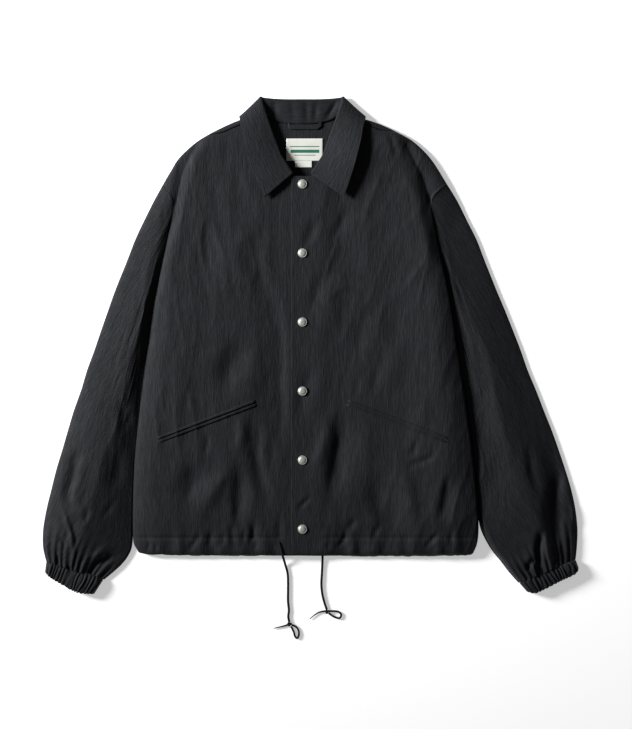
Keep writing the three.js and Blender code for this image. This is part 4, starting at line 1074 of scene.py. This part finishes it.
# Pockets: a slanted double-welt pocket on each front. Two folded lips of the shell cloth, each 4.2 mm
# wide, are stitched round a slit that the hand goes through.
pocket_inner, pocket_outer = np.array((68, -87)), np.array((224, -146))
lip_width, lip_height, slit_width = 4.2, 1.9, 2.0


def welt(half, lip):
    """A lip along the pocket's line: its cross-section is a low arch, lowest at the slit, and it thins out
    to the pocket's ends. The grain runs along it."""
    run = unit(pocket_outer - pocket_inner)
    away = np.array((-run[1], run[0])) * (1 if lip == "upper" else -1)
    s, t = np.linspace(0, 1, 150)[None, :, None], np.linspace(0, 1, 13)[:, None, None]
    start = slit_width / 2 + lip_width * t
    plan = mix(pocket_inner, pocket_outer, s) + away * start
    x, y = plan[..., 0], plan[..., 1]
    side_line = half["side_curve"](np.linspace(0, 1, 60))
    to_side = np.maximum(np.interp(y, side_line[:, 1], side_line[:, 0]) - x, 7)
    base = rounded_side(half, front_relief(half, x, y), valley_floor + 0.4, to_side) - 0.3
    ends = ease(np.minimum(s / 0.035, (1 - s) / 0.08)[..., 0])
    arch = round_off((1 - t)[..., 0] / 0.5) * (0.55 + 0.45 * round_off(t[..., 0] / 0.2))
    ripple = 0.22 * lumps(x * half["sign"], y, 7, 7, 51)
    top = base + 0.2 + ends * arch * (lip_height + ripple)
    grid = np.dstack([x * half["sign"], y, top])
    under = np.dstack([x * half["sign"], y, base])
    along = s * np.linalg.norm(pocket_outer - pocket_inner)
    return grid, under, np.dstack(np.broadcast_arrays(start[..., 0], along[..., 0])) * MM


for side, half in halves.items():
    for lip in ("lower", "upper"):
        piece = shell(f"pocket_lip_{side}_{lip}", *welt(half, lip), shell_material)
        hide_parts(f"pocket_{side}_{lip}")


# Snaps: six pressed caps of antique silver, 14 mm across, through the placket at a 105 mm pitch.
snap_x, snap_radius = 0.8, 7.0
snap_ys = [244.7, 139.8, 34.9, -70.0, -174.9, -279.8]
snap_metal = Finish("snap_metal", Metallic=0.6, IOR=1.45)
snap_place = snap_metal.node("TexCoord", output=2)
snap_wear = snap_metal.node("TexNoise", inputs={"Vector": snap_place, "Scale": 9.0, "Detail": 4.0})
snap_metal.feed(
    Base_Color=snap_metal.node("ValToRGB", {"stops": [(0.3, (0.27, 0.27, 0.24)), (0.7, (0.62, 0.62, 0.58))]},
                               {"Fac": snap_wear}),
    Roughness=0.38 + 0.25 * snap_wear,
    Normal=snap_metal.node("Bump", inputs={"Height": snap_wear, "Strength": 0.3, "Distance": 0.2 * MM}))
snap_profile = spline([(0.02, 2.75), (2, 2.7), (4, 2.35), (5.2, 1.75), (5.6, 1.5), (6, 1.62), (6.5, 1.6),
                       (6.95, 1.2), (7, 0.6), (6.9, 0.05)])


def cap(place, seat):
    """The profile turned round the snap's axis: a low dome, a groove and a rolled rim, closed below."""
    turn = np.linspace(0, 2 * np.pi, 73)[:-1]
    profile = np.vstack([snap_profile(np.linspace(0, 1, 40)), [(4, 0), (0.02, 0)]])
    radius, height = profile[:, 0, None], profile[:, 1, None]
    return np.dstack(np.broadcast_arrays(place[0] + radius * np.cos(turn), place[1] + radius * np.sin(turn),
                                         seat + height))


ring = np.linspace(0, 2 * np.pi, 12)
rim_x, rim_y = snap_radius * np.cos(ring), snap_radius * np.sin(ring)
for number, snap_y in enumerate(snap_ys, 1):
    under_cap = front_relief(halves["left"], snap_x + rim_x, snap_y + rim_y)
    grid = cap((snap_x, snap_y), under_cap.max() + 0.1)
    rows, cols = grid.shape[:2]
    index = np.arange(rows * cols).reshape(rows, cols)
    index = np.hstack([index, index[:, :1]])
    quads = grid_quads(index)[..., [0, 3, 2, 1]]
    uv = (grid[..., :2] - (snap_x, snap_y)).reshape(-1, 2) / (2 * snap_radius) + number
    piece = put_mesh(f"snap_cap_{number}", grid.reshape(-1, 3), quads, uv, snap_metal.material)
    weld(piece)
    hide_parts(f"snap_{number}")


# Neck label and size tab: woven satin, off-white, sewn to the inside of the back. The label has three
# plain green bars, and the tab is bare.
def label_finish(name, bars):
    """Satin: a fine rib across, and green inside the bars, each given as its low, high, left and right
    share of the label."""
    finish = Finish(name, Roughness=0.5, Sheen_Weight=0.1)
    uv = finish.node("TexCoord", output=2)
    across, up = (finish.node("SeparateXYZ", inputs={"Vector": uv}, output=k) for k in (0, 1))
    inside = 0.0
    for low, high, left, right in bars:
        inside = inside + (up > low) * (up < high) * (across > left) * (across < right)
    rib = finish.node("TexWave", {"wave_type": "BANDS", "bands_direction": "Y"},
                      {"Vector": uv, "Scale": 24.0, "Distortion": 0.3})
    fleck = finish.node("TexNoise", inputs={"Vector": uv, "Scale": 60.0, "Detail": 2.0})
    satin = finish.node("ValToRGB", {"stops": [(0.2, (0.6, 0.61, 0.56)), (0.8, (0.72, 0.73, 0.67))]},
                        {"Fac": fleck * 0.6 + rib * 0.4})
    if bars:
        green = (0.02, 0.13, 0.085, 1)
        satin = finish.node("Mix", {"data_type": "RGBA"}, {0: inside, 6: satin, 7: green}, 2)
    bump = finish.node("Bump", inputs={"Height": rib + fleck, "Strength": 0.3, "Distance": 0.1 * MM})
    finish.feed(Base_Color=satin, Normal=bump)
    return finish.material


def patch(place, cols, rows, clear, thick, uv_size):
    """A thin closed patch that follows the back's inside, that much clear of it, with its edges rounded
    down to a hem of 0.15 mm."""
    s, t = np.meshgrid(np.linspace(0, 1, cols), np.linspace(0, 1, rows))
    x, y = place(s, t)
    z = bed_height(x, y) + cloth_thick + clear
    edge = round_off(np.minimum(np.minimum(s, 1 - s), np.minimum(t, 1 - t)) / 0.04)
    hem = 0.15
    z = z + 0.15 * lumps(x, y, 14, 11, 61)
    top = z + hem + edge * (thick - hem)
    return np.dstack([x, y, top]), np.dstack([x, y, z]), np.dstack([s, t]) * uv_size


# Name, node, middle in x and y, width, height and bars of each
bars = [(0.36, 0.5, 0.12, 0.9), (0.62, 0.66, 0.1, 0.9), (0.24, 0.27, 0.22, 0.8)]
for name, node, at_x, at_y, wide, tall, marks in (
        ("neck_label", "label", 4.0, 297.6, 56.0, 34.0, bars),
        ("neck_size_tab", "size_tab", 2.3, 275.7, 26.0, 9.8, [])):
    place = lambda s, t: (at_x + wide * (s - 0.5), at_y + tall * (t - 0.5))
    piece = shell(name, *patch(place, 60, 40, clear=0.6, thick=0.7, uv_size=1), label_finish(name, marks))
    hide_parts(node)


# Hanger loop: a narrow strip of the shell cloth, sewn in at both ends where the back meets the collar.
loop_x, loop_half, loop_y, loop_width = 4.6, 26.0, 334.0, 8.0


def loop_place(s, t):
    """Along the back neck's seam, a little lower in the middle than at the ends."""
    rise = 5 * ease((s - 0.84) / 0.16) + 2.5 * ease((0.1 - s) / 0.1)
    return loop_x + loop_half * (2 * s - 1), loop_y - 2 + rise + loop_width * (t - 0.5)


loop_size = np.array((2 * loop_half, loop_width)) * MM
strip = patch(loop_place, 90, 14, clear=0.7, thick=1.9, uv_size=loop_size)
hanger = shell("neck_hanger_loop", *strip, shell_material)
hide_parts("hanger_loop")
